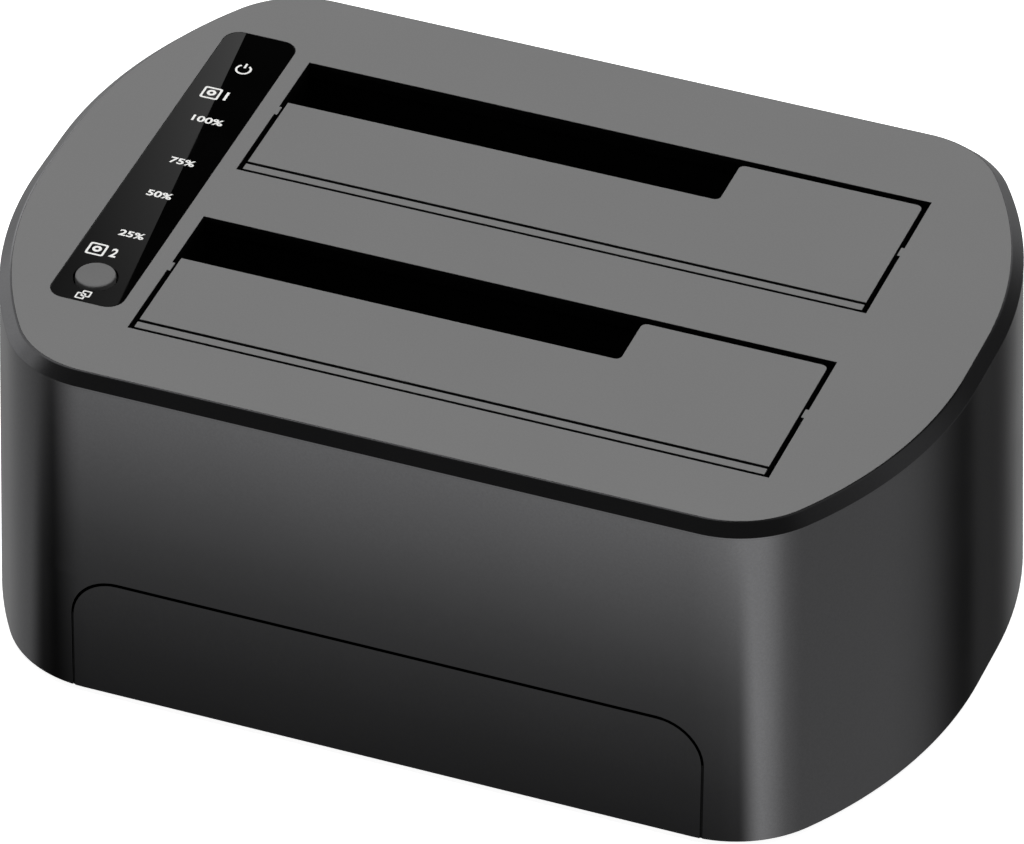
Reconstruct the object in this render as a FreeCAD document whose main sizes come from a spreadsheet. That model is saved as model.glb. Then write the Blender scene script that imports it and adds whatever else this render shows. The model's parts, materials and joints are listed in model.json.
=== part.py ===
import FreeCAD, Part
import math
import os
import Sketcher

# Two-bay hard-disk dock. Length runs along X, depth along Y (front is -Y),
# height along Z. The origin is at the bottom centre, on the floor.

doc = FreeCAD.newDocument("drive_duplicator")
sheet = doc.addObject("Spreadsheet::Sheet", "Dimensions")

# alias, value in millimetres (or a formula), meaning
DIMENSIONS = [
    ("overall_height", "60", "floor to top face"),
    ("foot_reach", "1.1", "how far the feet stand out below the housing"),
    ("face_half_length", "74.6", "top face, half its length"),
    ("face_half_width", "50.8", "top face, half its width"),
    ("end_arc", "70.2", "large radius of each end"),
    ("end_flat", "4.7", "half the straight part at each end"),
    ("corner_arc", "15.5", "radius where the ends meet the long sides"),
    ("corner_y", "=face_half_width - corner_arc", "corner arc's centre along Y"),
    ("corner_x", "=face_half_length - end_arc + sqrt((end_arc - corner_arc) ^ 2"
                 " - (corner_y - end_flat) ^ 2)", "corner arc's centre along X"),
    ("bevel_out", "2.1", "bevel round the rim, across"),
    ("bevel_drop", "1.7", "bevel round the rim, down"),
    ("draft_out", "1.55", "how much wider the wall stands at the bottom"),
    ("wall_thick", "2.2", "housing wall"),
    ("inlay_thick", "0.8", "grey face plate"),
    ("cover_thick", "2.8", "cover and face plate together"),
    ("rim_land", "0.2", "narrow edge of the cover round the face plate"),
    ("body_low", "=foot_reach", "lower edge of the wall"),
    ("body_high", "=overall_height - bevel_drop", "upper edge of the wall"),
    ("cover_under", "=overall_height - cover_thick", "underside of the cover"),
    ("inlay_under", "=overall_height - inlay_thick", "underside of the face plate"),
    ("base_thick", "2", "floor plate"),
    ("base_top", "=body_low + base_thick", "upper side of the floor plate"),
    # drive bays
    ("slot_length", "103", "bay opening along X"),
    ("slot_depth", "30.1", "bay opening along Y"),
    ("slot_shift", "4.2", "middle of the bays along X"),
    ("slot_pitch", "43.1", "front bay to rear bay"),
    ("slot_first", "-38.75", "front edge of the front bay"),
    ("slot_left", "=slot_shift - slot_length / 2", "left edge of the bays"),
    ("slot_right", "=slot_shift + slot_length / 2", "right edge of the bays"),
    ("small_length", "72.3", "part left open for a small drive, along X"),
    ("small_depth", "11.1", "part left open for a small drive, along Y"),
    ("bay_wall", "1.5", "wall of the drive wells"),
    ("under_bay", "6.4", "room for parts between the main board and the wells"),
    # flaps and their hinges
    ("flap_thick", "1.4", "flap plate"),
    ("side_gap", "0.9", "flap to the side of the bay"),
    ("back_gap", "1.35", "flap to the back of the bay"),
    ("rail_front", "0.3", "front edge of the bay to the rail"),
    ("rail_back", "2.05", "front edge of the bay to the rail's back"),
    ("rail_thick", "1.2", "hinge rail"),
    ("flap_start", "2.35", "front edge of the bay to the flap"),
    ("pivot_in", "1.2", "front edge of the bay to the hinge pin"),
    ("pivot_drop", "2.7", "top face down to the hinge pin"),
    ("pin_radius", "0.6", "hinge pin"),
    ("barrel_radius", "1.15", "knuckles of the flap"),
    ("stop_back", "3.55", "side stop, from its front end back to the small drive's opening"),
    ("stop_size", "2.1", "side stop along Y"),
    ("stop_reach", "0.5", "side stop into the gap"),
    # indicator strip and button
    ("strip_left", "-62.3", "left edge"),
    ("strip_right", "-50.4", "right edge"),
    ("strip_front", "-35.2", "front edge"),
    ("strip_back", "38.2", "back edge"),
    ("strip_corner", "2.6", "corner radius"),
    ("strip_thick", "1.6", "window thickness"),
    ("button_across", "-56.7", "button middle along X"),
    ("button_along", "-28.9", "button middle along Y"),
    ("button_radius", "3.1", "button cap"),
    ("button_rise", "0.55", "button above the top face"),
    # circuit boards
    ("board_low", "8.5", "underside of the main board"),
    ("board_thick", "1.6", "circuit boards"),
    ("board_top", "=board_low + board_thick", "upper side of the main board"),
    ("bay_low", "=board_top + under_bay", "underside of the drive wells"),
    ("bay_floor", "=bay_low + bay_wall", "floor of the drive wells"),
    ("post_reach", "4.6", "indicator board below the cover"),
    ("strip_board_top", "=cover_under - post_reach", "upper side of the indicator board"),
    ("socket_long", "42.8", "drive socket along X"),
    ("socket_wide", "5.6", "drive socket along Y"),
    ("socket_tall", "9.3", "drive socket above the board"),
    ("socket_back", "1.8", "back of the bay to the socket"),
    ("horn_tall", "13.1", "guide horns of the socket above the board"),
    # front and rear panels
    ("panel_over", "1.56", "how far the inset panels reach into the corner arcs"),
    ("panel_half", "=corner_x + panel_over", "half the width of the inset panels"),
    ("panel_top", "22.25", "upper edge of the inset panels"),
    ("panel_corner", "7.5", "upper corner radius of the inset panels"),
    ("panel_gap", "0.4", "seam round the inset panels"),
    # fasteners and feet
    ("boss_radius", "3.8", "long screw bosses"),
    ("case_post", "11.2", "length of the cover's screw posts"),
    ("boss_top", "=cover_under - case_post", "upper end of the long screw bosses"),
    ("pilot_radius", "1.3", "thread hole of a case screw"),
    ("screw_radius", "1.5", "case screw shank"),
    ("head_radius", "2.8", "case screw head"),
    ("foot_radius", "5", "rubber foot"),
]

for row, (alias, value, meaning) in enumerate(DIMENSIONS, 1):
    sheet.set("A%d" % row, meaning)
    sheet.set("B%d" % row, value)
    sheet.setAlias("B%d" % row, alias)
doc.recompute()


class Dim:
    """A length that carries both its number and the formula behind it."""

    def __init__(self, value, text):
        self.value = value
        self.text = text

    def join(self, other, sign):
        other = as_dim(other)
        value = self.value + other.value if sign == "+" else self.value - other.value
        return Dim(value, "(%s %s %s)" % (self.text, sign, other.text))

    def __add__(self, other):
        return self.join(other, "+")

    def __radd__(self, other):
        return as_dim(other).join(self, "+")

    def __sub__(self, other):
        return self.join(other, "-")

    def __rsub__(self, other):
        return as_dim(other).join(self, "-")

    def __mul__(self, factor):
        return Dim(self.value * factor, "(%s * %s)" % (self.text, factor))

    def __rmul__(self, factor):
        return self * factor

    def __neg__(self):
        return self * -1


def as_dim(value):
    return value if isinstance(value, Dim) else Dim(float(value), repr(float(value)))


class Names:
    """Reads a named size of the sheet, as in D.slot_left."""

    def __getattr__(self, name):
        return Dim(float(sheet.get(name)), "Dimensions." + name)


D = Names()


# ---------------------------------------------------------------- sketching
def new_body(label):
    body = doc.addObject("PartDesign::Body", label)
    body.Label = label
    return body


def new_sketch(body, role, offset, name):
    """A sketch on one of the body's own planes, shifted along its normal."""
    offset = as_dim(offset)
    sketch = body.newObject("Sketcher::SketchObject", name)
    plane = [item for item in body.Origin.OriginFeatures if item.Role == role][0]
    sketch.AttachmentSupport = (plane, [""])
    sketch.MapMode = "FlatFace"
    sketch.setExpression("AttachmentOffset.Base.z", offset.text)
    return sketch


def bind(sketch, constraint, size):
    index = sketch.addConstraint(constraint)
    sketch.setExpression("Constraints[%d]" % index, size.text)


def place(sketch, geo, point, across, along):
    """Fixes a point of the sketch at (across, along) from its origin."""
    bind(sketch, Sketcher.Constraint("DistanceX", -1, 1, geo, point, across.value), across)
    bind(sketch, Sketcher.Constraint("DistanceY", -1, 1, geo, point, along.value), along)


def rectangle(sketch, left, right, low, high):
    left, right, low, high = [as_dim(item) for item in (left, right, low, high)]
    corners = [(left, low), (right, low), (right, high), (left, high)]
    first = sketch.GeometryCount
    for step in range(4):
        a = corners[step]
        b = corners[(step + 1) % 4]
        start = FreeCAD.Vector(a[0].value, a[1].value, 0)
        end = FreeCAD.Vector(b[0].value, b[1].value, 0)
        sketch.addGeometry(Part.LineSegment(start, end), False)
    for step in range(4):
        sketch.addConstraint(Sketcher.Constraint(
            "Coincident", first + step, 2, first + (step + 1) % 4, 1))
        sketch.addConstraint(Sketcher.Constraint(
            "Horizontal" if step % 2 == 0 else "Vertical", first + step))
    place(sketch, first, 1, left, low)
    place(sketch, first + 2, 1, right, high)


def circle(sketch, across, along, radius):
    across, along, radius = [as_dim(item) for item in (across, along, radius)]
    centre = FreeCAD.Vector(across.value, along.value, 0)
    index = sketch.addGeometry(
        Part.Circle(centre, FreeCAD.Vector(0, 0, 1), radius.value), False)
    bind(sketch, Sketcher.Constraint("Radius", index, radius.value), radius)
    place(sketch, index, 3, across, along)


def polygon(sketch, points):
    """A closed line through points, each fixed from the origin."""
    points = [(as_dim(a), as_dim(b)) for a, b in points]
    first = sketch.GeometryCount
    count = len(points)
    for step in range(count):
        a = points[step]
        b = points[(step + 1) % count]
        start = FreeCAD.Vector(a[0].value, a[1].value, 0)
        end = FreeCAD.Vector(b[0].value, b[1].value, 0)
        sketch.addGeometry(Part.LineSegment(start, end), False)
    for step in range(count):
        sketch.addConstraint(Sketcher.Constraint(
            "Coincident", first + step, 2, first + (step + 1) % count, 1))
    for step in range(count):
        place(sketch, first + step, 1, points[step][0], points[step][1])


def housing_outline(sketch, grow):
    """The plan of the housing: long sides, flat-nosed round ends, and corner
    arcs between them. grow moves the whole line outwards."""
    grow = as_dim(grow)
    half_length = D.face_half_length + grow
    half_width = D.face_half_width + grow
    big = D.end_arc + grow
    small = D.corner_arc + grow
    flat = D.end_flat
    big_x = half_length.value - big.value
    small_y = half_width.value - small.value
    reach = big.value - small.value
    rise = small_y - flat.value
    small_x = big_x + math.sqrt(reach * reach - rise * rise)
    turn = math.atan2(rise, small_x - big_x)
    up = FreeCAD.Vector(0, 0, 1)

    def line(x1, y1, x2, y2):
        sketch.addGeometry(Part.LineSegment(
            FreeCAD.Vector(x1, y1, 0), FreeCAD.Vector(x2, y2, 0)), False)

    def arc(x, y, radius, start, end):
        ring = Part.Circle(FreeCAD.Vector(x, y, 0), up, radius)
        sketch.addGeometry(Part.ArcOfCircle(ring, start, end), False)

    first = sketch.GeometryCount
    right = math.pi / 2
    fl = flat.value
    hl = half_length.value
    hw = half_width.value
    line(hl, -fl, hl, fl)
    arc(big_x, fl, big.value, 0, turn)
    arc(small_x, small_y, small.value, turn, right)
    line(small_x, hw, -small_x, hw)
    arc(-small_x, small_y, small.value, right, math.pi - turn)
    arc(-big_x, fl, big.value, math.pi - turn, math.pi)
    line(-hl, fl, -hl, -fl)
    arc(-big_x, -fl, big.value, math.pi, math.pi + turn)
    arc(-small_x, -small_y, small.value, math.pi + turn, 3 * right)
    line(-small_x, -hw, small_x, -hw)
    arc(small_x, -small_y, small.value, 3 * right, 4 * right - turn)
    arc(big_x, -fl, big.value, 4 * right - turn, 4 * right)
    for step in range(12):
        sketch.addConstraint(Sketcher.Constraint(
            "Tangent", first + step, 2, first + (step + 1) % 12, 1))
    sketch.addConstraint(Sketcher.Constraint("Vertical", first))
    sketch.addConstraint(Sketcher.Constraint("Vertical", first + 6))
    sketch.addConstraint(Sketcher.Constraint("Horizontal", first + 3))
    sketch.addConstraint(Sketcher.Constraint("Horizontal", first + 9))
    bind(sketch, Sketcher.Constraint("Radius", first + 1, big.value), big)
    bind(sketch, Sketcher.Constraint("Radius", first + 2, small.value), small)
    for step in (5, 7, 11):
        sketch.addConstraint(Sketcher.Constraint("Equal", first + 1, first + step))
    for step in (4, 8, 10):
        sketch.addConstraint(Sketcher.Constraint("Equal", first + 2, first + step))
    place(sketch, first, 1, half_length, -flat)
    place(sketch, first + 6, 1, -half_length, flat)
    for geo, size in ((0, flat), (6, -flat), (3, half_width), (9, -half_width)):
        point = 2 if geo in (0, 6) else 1
        bind(sketch, Sketcher.Constraint(
            "DistanceY", -1, 1, first + geo, point, size.value), size)


def arch(sketch, half, low, high, corner):
    """A panel outline with two rounded upper corners."""
    half, low, high, corner = [as_dim(item) for item in (half, low, high, corner)]
    h, b, t, r = half.value, low.value, high.value, corner.value
    up = FreeCAD.Vector(0, 0, 1)
    first = sketch.GeometryCount
    right = math.pi / 2
    centre_a = FreeCAD.Vector(h - r, t - r, 0)
    centre_b = FreeCAD.Vector(r - h, t - r, 0)
    sketch.addGeometry([
        Part.LineSegment(FreeCAD.Vector(-h, b, 0), FreeCAD.Vector(h, b, 0)),
        Part.LineSegment(FreeCAD.Vector(h, b, 0), FreeCAD.Vector(h, t - r, 0)),
        Part.ArcOfCircle(Part.Circle(centre_a, up, r), 0, right),
        Part.LineSegment(FreeCAD.Vector(h - r, t, 0), FreeCAD.Vector(r - h, t, 0)),
        Part.ArcOfCircle(Part.Circle(centre_b, up, r), right, math.pi),
        Part.LineSegment(FreeCAD.Vector(-h, t - r, 0), FreeCAD.Vector(-h, b, 0)),
    ], False)
    sketch.addConstraint(Sketcher.Constraint("Coincident", first, 2, first + 1, 1))
    sketch.addConstraint(Sketcher.Constraint("Coincident", first + 5, 2, first, 1))
    for step in (1, 2, 3, 4):
        sketch.addConstraint(Sketcher.Constraint(
            "Tangent", first + step, 2, first + step + 1, 1))
    sketch.addConstraint(Sketcher.Constraint("Horizontal", first))
    sketch.addConstraint(Sketcher.Constraint("Vertical", first + 1))
    sketch.addConstraint(Sketcher.Constraint("Horizontal", first + 3))
    sketch.addConstraint(Sketcher.Constraint("Vertical", first + 5))
    bind(sketch, Sketcher.Constraint("Radius", first + 2, r), corner)
    sketch.addConstraint(Sketcher.Constraint("Equal", first + 2, first + 4))
    place(sketch, first, 1, -half, low)
    bind(sketch, Sketcher.Constraint("DistanceX", -1, 1, first, 2, h), half)
    bind(sketch, Sketcher.Constraint("DistanceY", -1, 1, first + 3, 1, t), high)


def rounded(sketch, left, right, low, high, corner):
    """A rectangle with four equal round corners."""
    left, right, low, high, corner = [
        as_dim(item) for item in (left, right, low, high, corner)]
    x0, x1, y0, y1, r = [item.value for item in (left, right, low, high, corner)]
    up = FreeCAD.Vector(0, 0, 1)
    quarter = math.pi / 2
    first = sketch.GeometryCount
    ends = [
        ((x0 + r, y0), (x1 - r, y0), (x1 - r, y0 + r)),
        ((x1, y0 + r), (x1, y1 - r), (x1 - r, y1 - r)),
        ((x1 - r, y1), (x0 + r, y1), (x0 + r, y1 - r)),
        ((x0, y1 - r), (x0, y0 + r), (x0 + r, y0 + r)),
    ]
    for step, (a, b, c) in enumerate(ends):
        sketch.addGeometry(Part.LineSegment(
            FreeCAD.Vector(a[0], a[1], 0), FreeCAD.Vector(b[0], b[1], 0)), False)
        ring = Part.Circle(FreeCAD.Vector(c[0], c[1], 0), up, r)
        start = (step - 1) * quarter
        sketch.addGeometry(Part.ArcOfCircle(ring, start, start + quarter), False)
    for step in range(8):
        sketch.addConstraint(Sketcher.Constraint(
            "Tangent", first + step, 2, first + (step + 1) % 8, 1))
    for step in range(4):
        kind = "Horizontal" if step % 2 == 0 else "Vertical"
        sketch.addConstraint(Sketcher.Constraint(kind, first + 2 * step))
    bind(sketch, Sketcher.Constraint("Radius", first + 1, r), corner)
    for step in (3, 5, 7):
        sketch.addConstraint(Sketcher.Constraint("Equal", first + 1, first + step))
    bind(sketch, Sketcher.Constraint("DistanceY", -1, 1, first, 1, y0), low)
    bind(sketch, Sketcher.Constraint("DistanceX", -1, 1, first + 2, 1, x1), right)
    bind(sketch, Sketcher.Constraint("DistanceY", -1, 1, first + 4, 1, y1), high)
    bind(sketch, Sketcher.Constraint("DistanceX", -1, 1, first + 6, 1, x0), left)


# ---------------------------------------------------------------- features
CUTS = []


def pad(body, sketch, length, name, down=False):
    length = as_dim(length)
    feature = body.newObject("PartDesign::Pad", name)
    feature.Profile = sketch
    feature.setExpression("Length", length.text)
    feature.Reversed = down
    sketch.Visibility = False
    return feature


def pocket(body, sketch, depth, name, up=False):
    """Cuts against the sketch's normal, or along it with up."""
    depth = as_dim(depth)
    before = body.Tip
    feature = body.newObject("PartDesign::Pocket", name)
    feature.Profile = sketch
    feature.setExpression("Length", depth.text)
    feature.Reversed = up
    sketch.Visibility = False
    CUTS.append((before, feature))
    return feature


def loft(body, lower, upper, name, subtract=False):
    kind = "PartDesign::SubtractiveLoft" if subtract else "PartDesign::AdditiveLoft"
    before = body.Tip
    feature = body.newObject(kind, name)
    feature.Profile = lower
    feature.Sections = [upper]
    feature.Ruled = True
    if subtract:
        CUTS.append((before, feature))
    return feature


def box(name, left, right, front, back, low, high):
    """A block between six planes."""
    left, right, front, back, low, high = [
        as_dim(item) for item in (left, right, front, back, low, high)]
    item = doc.addObject("Part::Box", name)
    item.setExpression("Length", (right - left).text)
    item.setExpression("Width", (back - front).text)
    item.setExpression("Height", (high - low).text)
    item.setExpression("Placement.Base.x", left.text)
    item.setExpression("Placement.Base.y", front.text)
    item.setExpression("Placement.Base.z", low.text)
    return item


def rod(name, x, y, z, radius, length, along="z"):
    """A cylinder that starts at x, y, z and runs along one axis."""
    x, y, z, radius, length = [as_dim(item) for item in (x, y, z, radius, length)]
    item = doc.addObject("Part::Cylinder", name)
    item.setExpression("Radius", radius.text)
    item.setExpression("Height", length.text)
    if along == "x":
        item.Placement.Rotation = FreeCAD.Rotation(FreeCAD.Vector(0, 1, 0), 90)
    if along == "y":
        item.Placement.Rotation = FreeCAD.Rotation(FreeCAD.Vector(1, 0, 0), -90)
    item.setExpression("Placement.Base.x", x.text)
    item.setExpression("Placement.Base.y", y.text)
    item.setExpression("Placement.Base.z", z.text)
    return item


def fuse(name, items):
    item = doc.addObject("Part::MultiFuse", name)
    item.Shapes = items
    return item


def cut(name, base, tool):
    item = doc.addObject("Part::Cut", name)
    item.Base = base
    item.Tool = tool
    CUTS.append((base, item))
    return item


def group(name, items):
    """Several separate copies of one piece, kept as one named node."""
    item = doc.addObject("Part::Compound", name)
    item.Links = items
    return item


PARTS = []


def finish(item, label):
    item.Label = label
    PARTS.append(item)
    return item


# ---------------------------------------------------------------- positions
BAYS = (("front", D.slot_first), ("rear", D.slot_first + D.slot_pitch))
# indicator lights, measured from the strip's left and back edges
LIGHTS_X = D.strip_left + 3.7
LIGHTS_Y = [D.strip_back - down for down in (9.2, 16.8, 23.7, 35.1, 44.2, 55.2)]
BOARD_POSTS = ((D.strip_left + 8.1, D.strip_back - 4.6),
               (D.strip_left + 8.1, D.button_along + 6.9))
# long screw bosses, in the corners of the housing; the last value is how far
# each boss's rib runs into the wall
BOSSES = (
    (-D.corner_x - 7.8, D.corner_y + 6.7, D.corner_y + 15.6),
    (-D.corner_x - 7.8, -D.corner_y - 6.7, -D.corner_y - 15.6),
    (D.corner_x + 10.6, D.corner_y + 4.9, D.corner_y + 13.6),
    (D.corner_x + 7.2, -D.corner_y - 9.3, -D.corner_y - 15.8),
)
PILLARS = [(side_x * (D.face_half_length - 5.1), side_y * 14.0)
           for side_x in (-1, 1) for side_y in (1, -1)]
FEET = [(side_x * (D.corner_x + 6.3), side_y * (D.corner_y - 1.3))
        for side_x in (-1, 1) for side_y in (1, -1)]
main_left = D.slot_left - 4.7
main_right = D.slot_right - 0.2
main_front = D.slot_first - 1.75
main_middle = D.slot_first + D.slot_pitch + D.slot_depth + 2
main_back = D.face_half_width - 3.8
STANDOFFS = ((main_left + 6, main_front + 2.5), (main_right - 6.5, main_front + 2.5),
             (main_left + 6, D.slot_first + D.slot_pitch + 13.5),
             (main_right - 6.5, D.slot_first + D.slot_pitch + 14.6))

pivot_z = D.overall_height - D.pivot_drop
low_grow = D.bevel_out + D.draft_out
flap_left = D.slot_left + D.side_gap
flap_right = D.slot_right - D.side_gap

# ---------------------------------------------------------------- top cover
cover = new_body("top_cover")
sk = new_sketch(cover, "XY_Plane", D.body_high, "cover_foot_line")
housing_outline(sk, D.bevel_out)
sk_top = new_sketch(cover, "XY_Plane", D.overall_height, "cover_top_line")
housing_outline(sk_top, D.rim_land)
loft(cover, sk, sk_top, "cover_bevel")
sk = new_sketch(cover, "XY_Plane", D.body_high, "cover_plug_line")
housing_outline(sk, D.bevel_out - D.wall_thick - 0.4)
pad(cover, sk, D.body_high - D.cover_under, "cover_plug", down=True)
sk = new_sketch(cover, "XY_Plane", D.cover_under, "cover_tongue_line")
housing_outline(sk, D.bevel_out - D.wall_thick - 0.4)
housing_outline(sk, D.bevel_out - D.wall_thick - 1.9)
pad(cover, sk, 2.6, "cover_tongue", down=True)
# seat for the face plate
sk = new_sketch(cover, "XY_Plane", D.overall_height, "inlay_seat_line")
housing_outline(sk, 0)
pocket(cover, sk, D.inlay_thick, "inlay_seat")
# posts for the indicator board and the four long case screws
sk = new_sketch(cover, "XY_Plane", D.cover_under, "board_post_line")
for x, y in BOARD_POSTS:
    circle(sk, x, y, 2.2)
pad(cover, sk, D.cover_under - D.strip_board_top, "board_posts", down=True)
sk = new_sketch(cover, "XY_Plane", D.cover_under, "case_post_line")
for x, y, rib in BOSSES:
    circle(sk, x, y, D.boss_radius - 1)
pad(cover, sk, D.cover_under - D.boss_top, "case_posts", down=True)
sk = new_sketch(cover, "XY_Plane", D.strip_board_top, "board_pilot_line")
for x, y in BOARD_POSTS:
    circle(sk, x, y, 0.9)
pocket(cover, sk, 4, "board_pilots", up=True)
sk = new_sketch(cover, "XY_Plane", D.boss_top, "case_pilot_line")
for x, y, rib in BOSSES:
    circle(sk, x, y, D.pilot_radius)
pocket(cover, sk, 8, "case_pilots", up=True)
# both bay openings, and room for the hinge rails under their front edges
sk = new_sketch(cover, "XY_Plane", D.overall_height, "bay_mouth_line")
for bay, front in BAYS:
    rectangle(sk, D.slot_left, D.slot_right, front, front + D.slot_depth)
pocket(cover, sk, D.cover_thick + 0.5, "bay_mouths")
sk = new_sketch(cover, "XY_Plane", D.cover_under, "rail_room_line")
for bay, front in BAYS:
    rectangle(sk, D.slot_left, D.slot_right, front - 0.4, front + 0.2)
pocket(cover, sk, D.cover_thick - D.rail_thick, "rail_room", up=True)
# side stops for the flaps
sk = new_sketch(cover, "XY_Plane", D.inlay_under, "side_stop_line")
for bay, front in BAYS:
    near = front + D.slot_depth - D.small_depth - D.stop_back
    far = near + D.stop_size
    rectangle(sk, D.slot_left - 0.5, D.slot_left + D.stop_reach, near, far)
    rectangle(sk, D.slot_right - D.stop_reach, D.slot_right + 0.5, near, far)
pad(cover, sk, 0.8, "side_stops", down=True)
# seat for the indicator window, light wells and button hole
sk = new_sketch(cover, "XY_Plane", D.inlay_under, "window_seat_line")
rounded(sk, D.strip_left, D.strip_right, D.strip_front, D.strip_back, D.strip_corner)
pocket(cover, sk, D.strip_thick - D.inlay_thick, "window_seat")
sk = new_sketch(cover, "XY_Plane", D.inlay_under, "light_well_line")
for y in LIGHTS_Y:
    rectangle(sk, LIGHTS_X - 1.25, LIGHTS_X + 1.25, y - 1.25, y + 1.25)
circle(sk, D.button_across, D.button_along, D.button_radius + 0.4)
pocket(cover, sk, D.cover_thick, "light_wells")
finish(cover, "top_cover")

# face plate
inlay = new_body("top_inlay")
sk = new_sketch(inlay, "XY_Plane", D.inlay_under, "inlay_line")
housing_outline(sk, 0)
pad(inlay, sk, D.inlay_thick, "inlay_plate")
sk = new_sketch(inlay, "XY_Plane", D.overall_height, "inlay_mouth_line")
for bay, front in BAYS:
    rectangle(sk, D.slot_left, D.slot_right, front, front + D.slot_depth)
rounded(sk, D.strip_left - 0.1, D.strip_right + 0.1,
        D.strip_front - 0.1, D.strip_back + 0.1, D.strip_corner + 0.1)
pocket(inlay, sk, D.inlay_thick + 0.2, "inlay_mouths")
sk = new_sketch(inlay, "XY_Plane", D.overall_height, "inlay_stop_line")
for bay, front in BAYS:
    near = front + D.slot_depth - D.small_depth - D.stop_back
    far = near + D.stop_size
    rectangle(sk, D.slot_left - 0.5, D.slot_left + D.stop_reach, near, far)
    rectangle(sk, D.slot_right - D.stop_reach, D.slot_right + 0.5, near, far)
pad(inlay, sk, D.inlay_thick, "inlay_stops", down=True)
finish(inlay, "top_inlay")

# indicator window, flush with the face plate
window = new_body("indicator_window")
sk = new_sketch(window, "XY_Plane", D.overall_height, "window_line")
rounded(sk, D.strip_left, D.strip_right, D.strip_front, D.strip_back, D.strip_corner)
circle(sk, D.button_across, D.button_along, D.button_radius + 0.4)
pad(window, sk, D.strip_thick, "window_plate", down=True)
finish(window, "indicator_window")

# clear bar whose columns stand in the light wells
guide = new_body("light_guide")
sk = new_sketch(guide, "XY_Plane", D.cover_under, "guide_bar_line")
rectangle(sk, LIGHTS_X - 1.25, LIGHTS_X + 1.25, LIGHTS_Y[-1] - 2, LIGHTS_Y[0] + 2)
pad(guide, sk, 1.2, "guide_bar", down=True)
sk = new_sketch(guide, "XY_Plane", D.cover_under, "guide_column_line")
for y in LIGHTS_Y:
    rectangle(sk, LIGHTS_X - 1.2, LIGHTS_X + 1.2, y - 1.2, y + 1.2)
pad(guide, sk, D.cover_thick - D.strip_thick, "guide_columns")
finish(guide, "light_guide")

# ---------------------------------------------------------------- housing
shell = new_body("body_shell")
sk = new_sketch(shell, "XY_Plane", D.body_low, "wall_low_line")
housing_outline(sk, low_grow)
sk_top = new_sketch(shell, "XY_Plane", D.body_high, "wall_high_line")
housing_outline(sk_top, D.bevel_out)
loft(shell, sk, sk_top, "wall_outside")
sk = new_sketch(shell, "XY_Plane", D.body_low, "hollow_low_line")
housing_outline(sk, low_grow - D.wall_thick)
sk_top = new_sketch(shell, "XY_Plane", D.body_high, "hollow_high_line")
housing_outline(sk_top, D.bevel_out - D.wall_thick)
loft(shell, sk, sk_top, "wall_inside", subtract=True)
# long bosses under the cover's posts, with ribs that run into the wall
sk = new_sketch(shell, "XY_Plane", D.base_top, "boss_line")
for x, y, rib in BOSSES:
    circle(sk, x, y, D.boss_radius)
pad(shell, sk, D.boss_top - D.base_top, "bosses")
sk = new_sketch(shell, "XY_Plane", D.base_top, "boss_rib_line")
for x, y, rib in BOSSES:
    if y.value > 0:
        rectangle(sk, x - 0.9, x + 0.9, y + 2.5, rib)
    else:
        rectangle(sk, x - 0.9, x + 0.9, rib, y - 2.5)
pad(shell, sk, D.boss_top - D.base_top - 2, "boss_ribs")
# short pillars for the floor plate's screws
sk = new_sketch(shell, "XY_Plane", D.base_top, "pillar_line")
for x, y in PILLARS:
    circle(sk, x, y, 3.3)
pad(shell, sk, 13, "pillars")
sk = new_sketch(shell, "XY_Plane", D.base_top, "pillar_rib_line")
for x, y in PILLARS:
    if x.value > 0:
        rectangle(sk, x + 2, D.face_half_length + 1.6, y - 0.9, y + 0.9)
    else:
        rectangle(sk, -D.face_half_length - 1.6, x - 2, y - 0.9, y + 0.9)
pad(shell, sk, 12, "pillar_ribs")
sk = new_sketch(shell, "XY_Plane", D.base_top, "pillar_pilot_line")
for x, y in PILLARS:
    circle(sk, x, y, D.pilot_radius)
pocket(shell, sk, 11, "pillar_pilots", up=True)
sk = new_sketch(shell, "XY_Plane", D.base_top, "boss_bore_line")
for x, y, rib in BOSSES:
    circle(sk, x, y, D.screw_radius + 0.2)
pocket(shell, sk, D.boss_top, "boss_bores", up=True)
sk = new_sketch(shell, "XY_Plane", D.base_top, "boss_sink_line")
for x, y, rib in BOSSES:
    circle(sk, x, y, D.head_radius + 0.2)
pocket(shell, sk, D.boss_top - D.base_top - 2.5, "boss_sinks", up=True)
# arched cut-outs for the inset panels
for name, side in (("front", 1), ("rear", -1)):
    depth = D.face_half_width - 2
    sk = new_sketch(shell, "XZ_Plane", depth * side, name + "_cutout_line")
    arch(sk, D.panel_half + D.panel_gap * 0.5, D.body_low - 0.5,
         D.panel_top + D.panel_gap * 0.5, D.panel_corner + D.panel_gap * 0.5)
    pocket(shell, sk, 8, name + "_cutout", up=(side == 1))
finish(shell, "body_shell")

# ---------------------------------------------------------------- inset panels
# Each panel is cut from the same drafted ring as the wall, so it sits flush.
ring = new_body("panel_ring")
sk = new_sketch(ring, "XY_Plane", D.body_low, "ring_low_line")
housing_outline(sk, low_grow)
sk_top = new_sketch(ring, "XY_Plane", D.body_high, "ring_high_line")
housing_outline(sk_top, D.bevel_out)
loft(ring, sk, sk_top, "ring_outside")
sk = new_sketch(ring, "XY_Plane", D.body_low, "ring_hollow_low_line")
housing_outline(sk, low_grow - D.wall_thick)
sk_top = new_sketch(ring, "XY_Plane", D.body_high, "ring_hollow_high_line")
housing_outline(sk_top, D.bevel_out - D.wall_thick)
loft(ring, sk, sk_top, "ring_inside", subtract=True)


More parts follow.
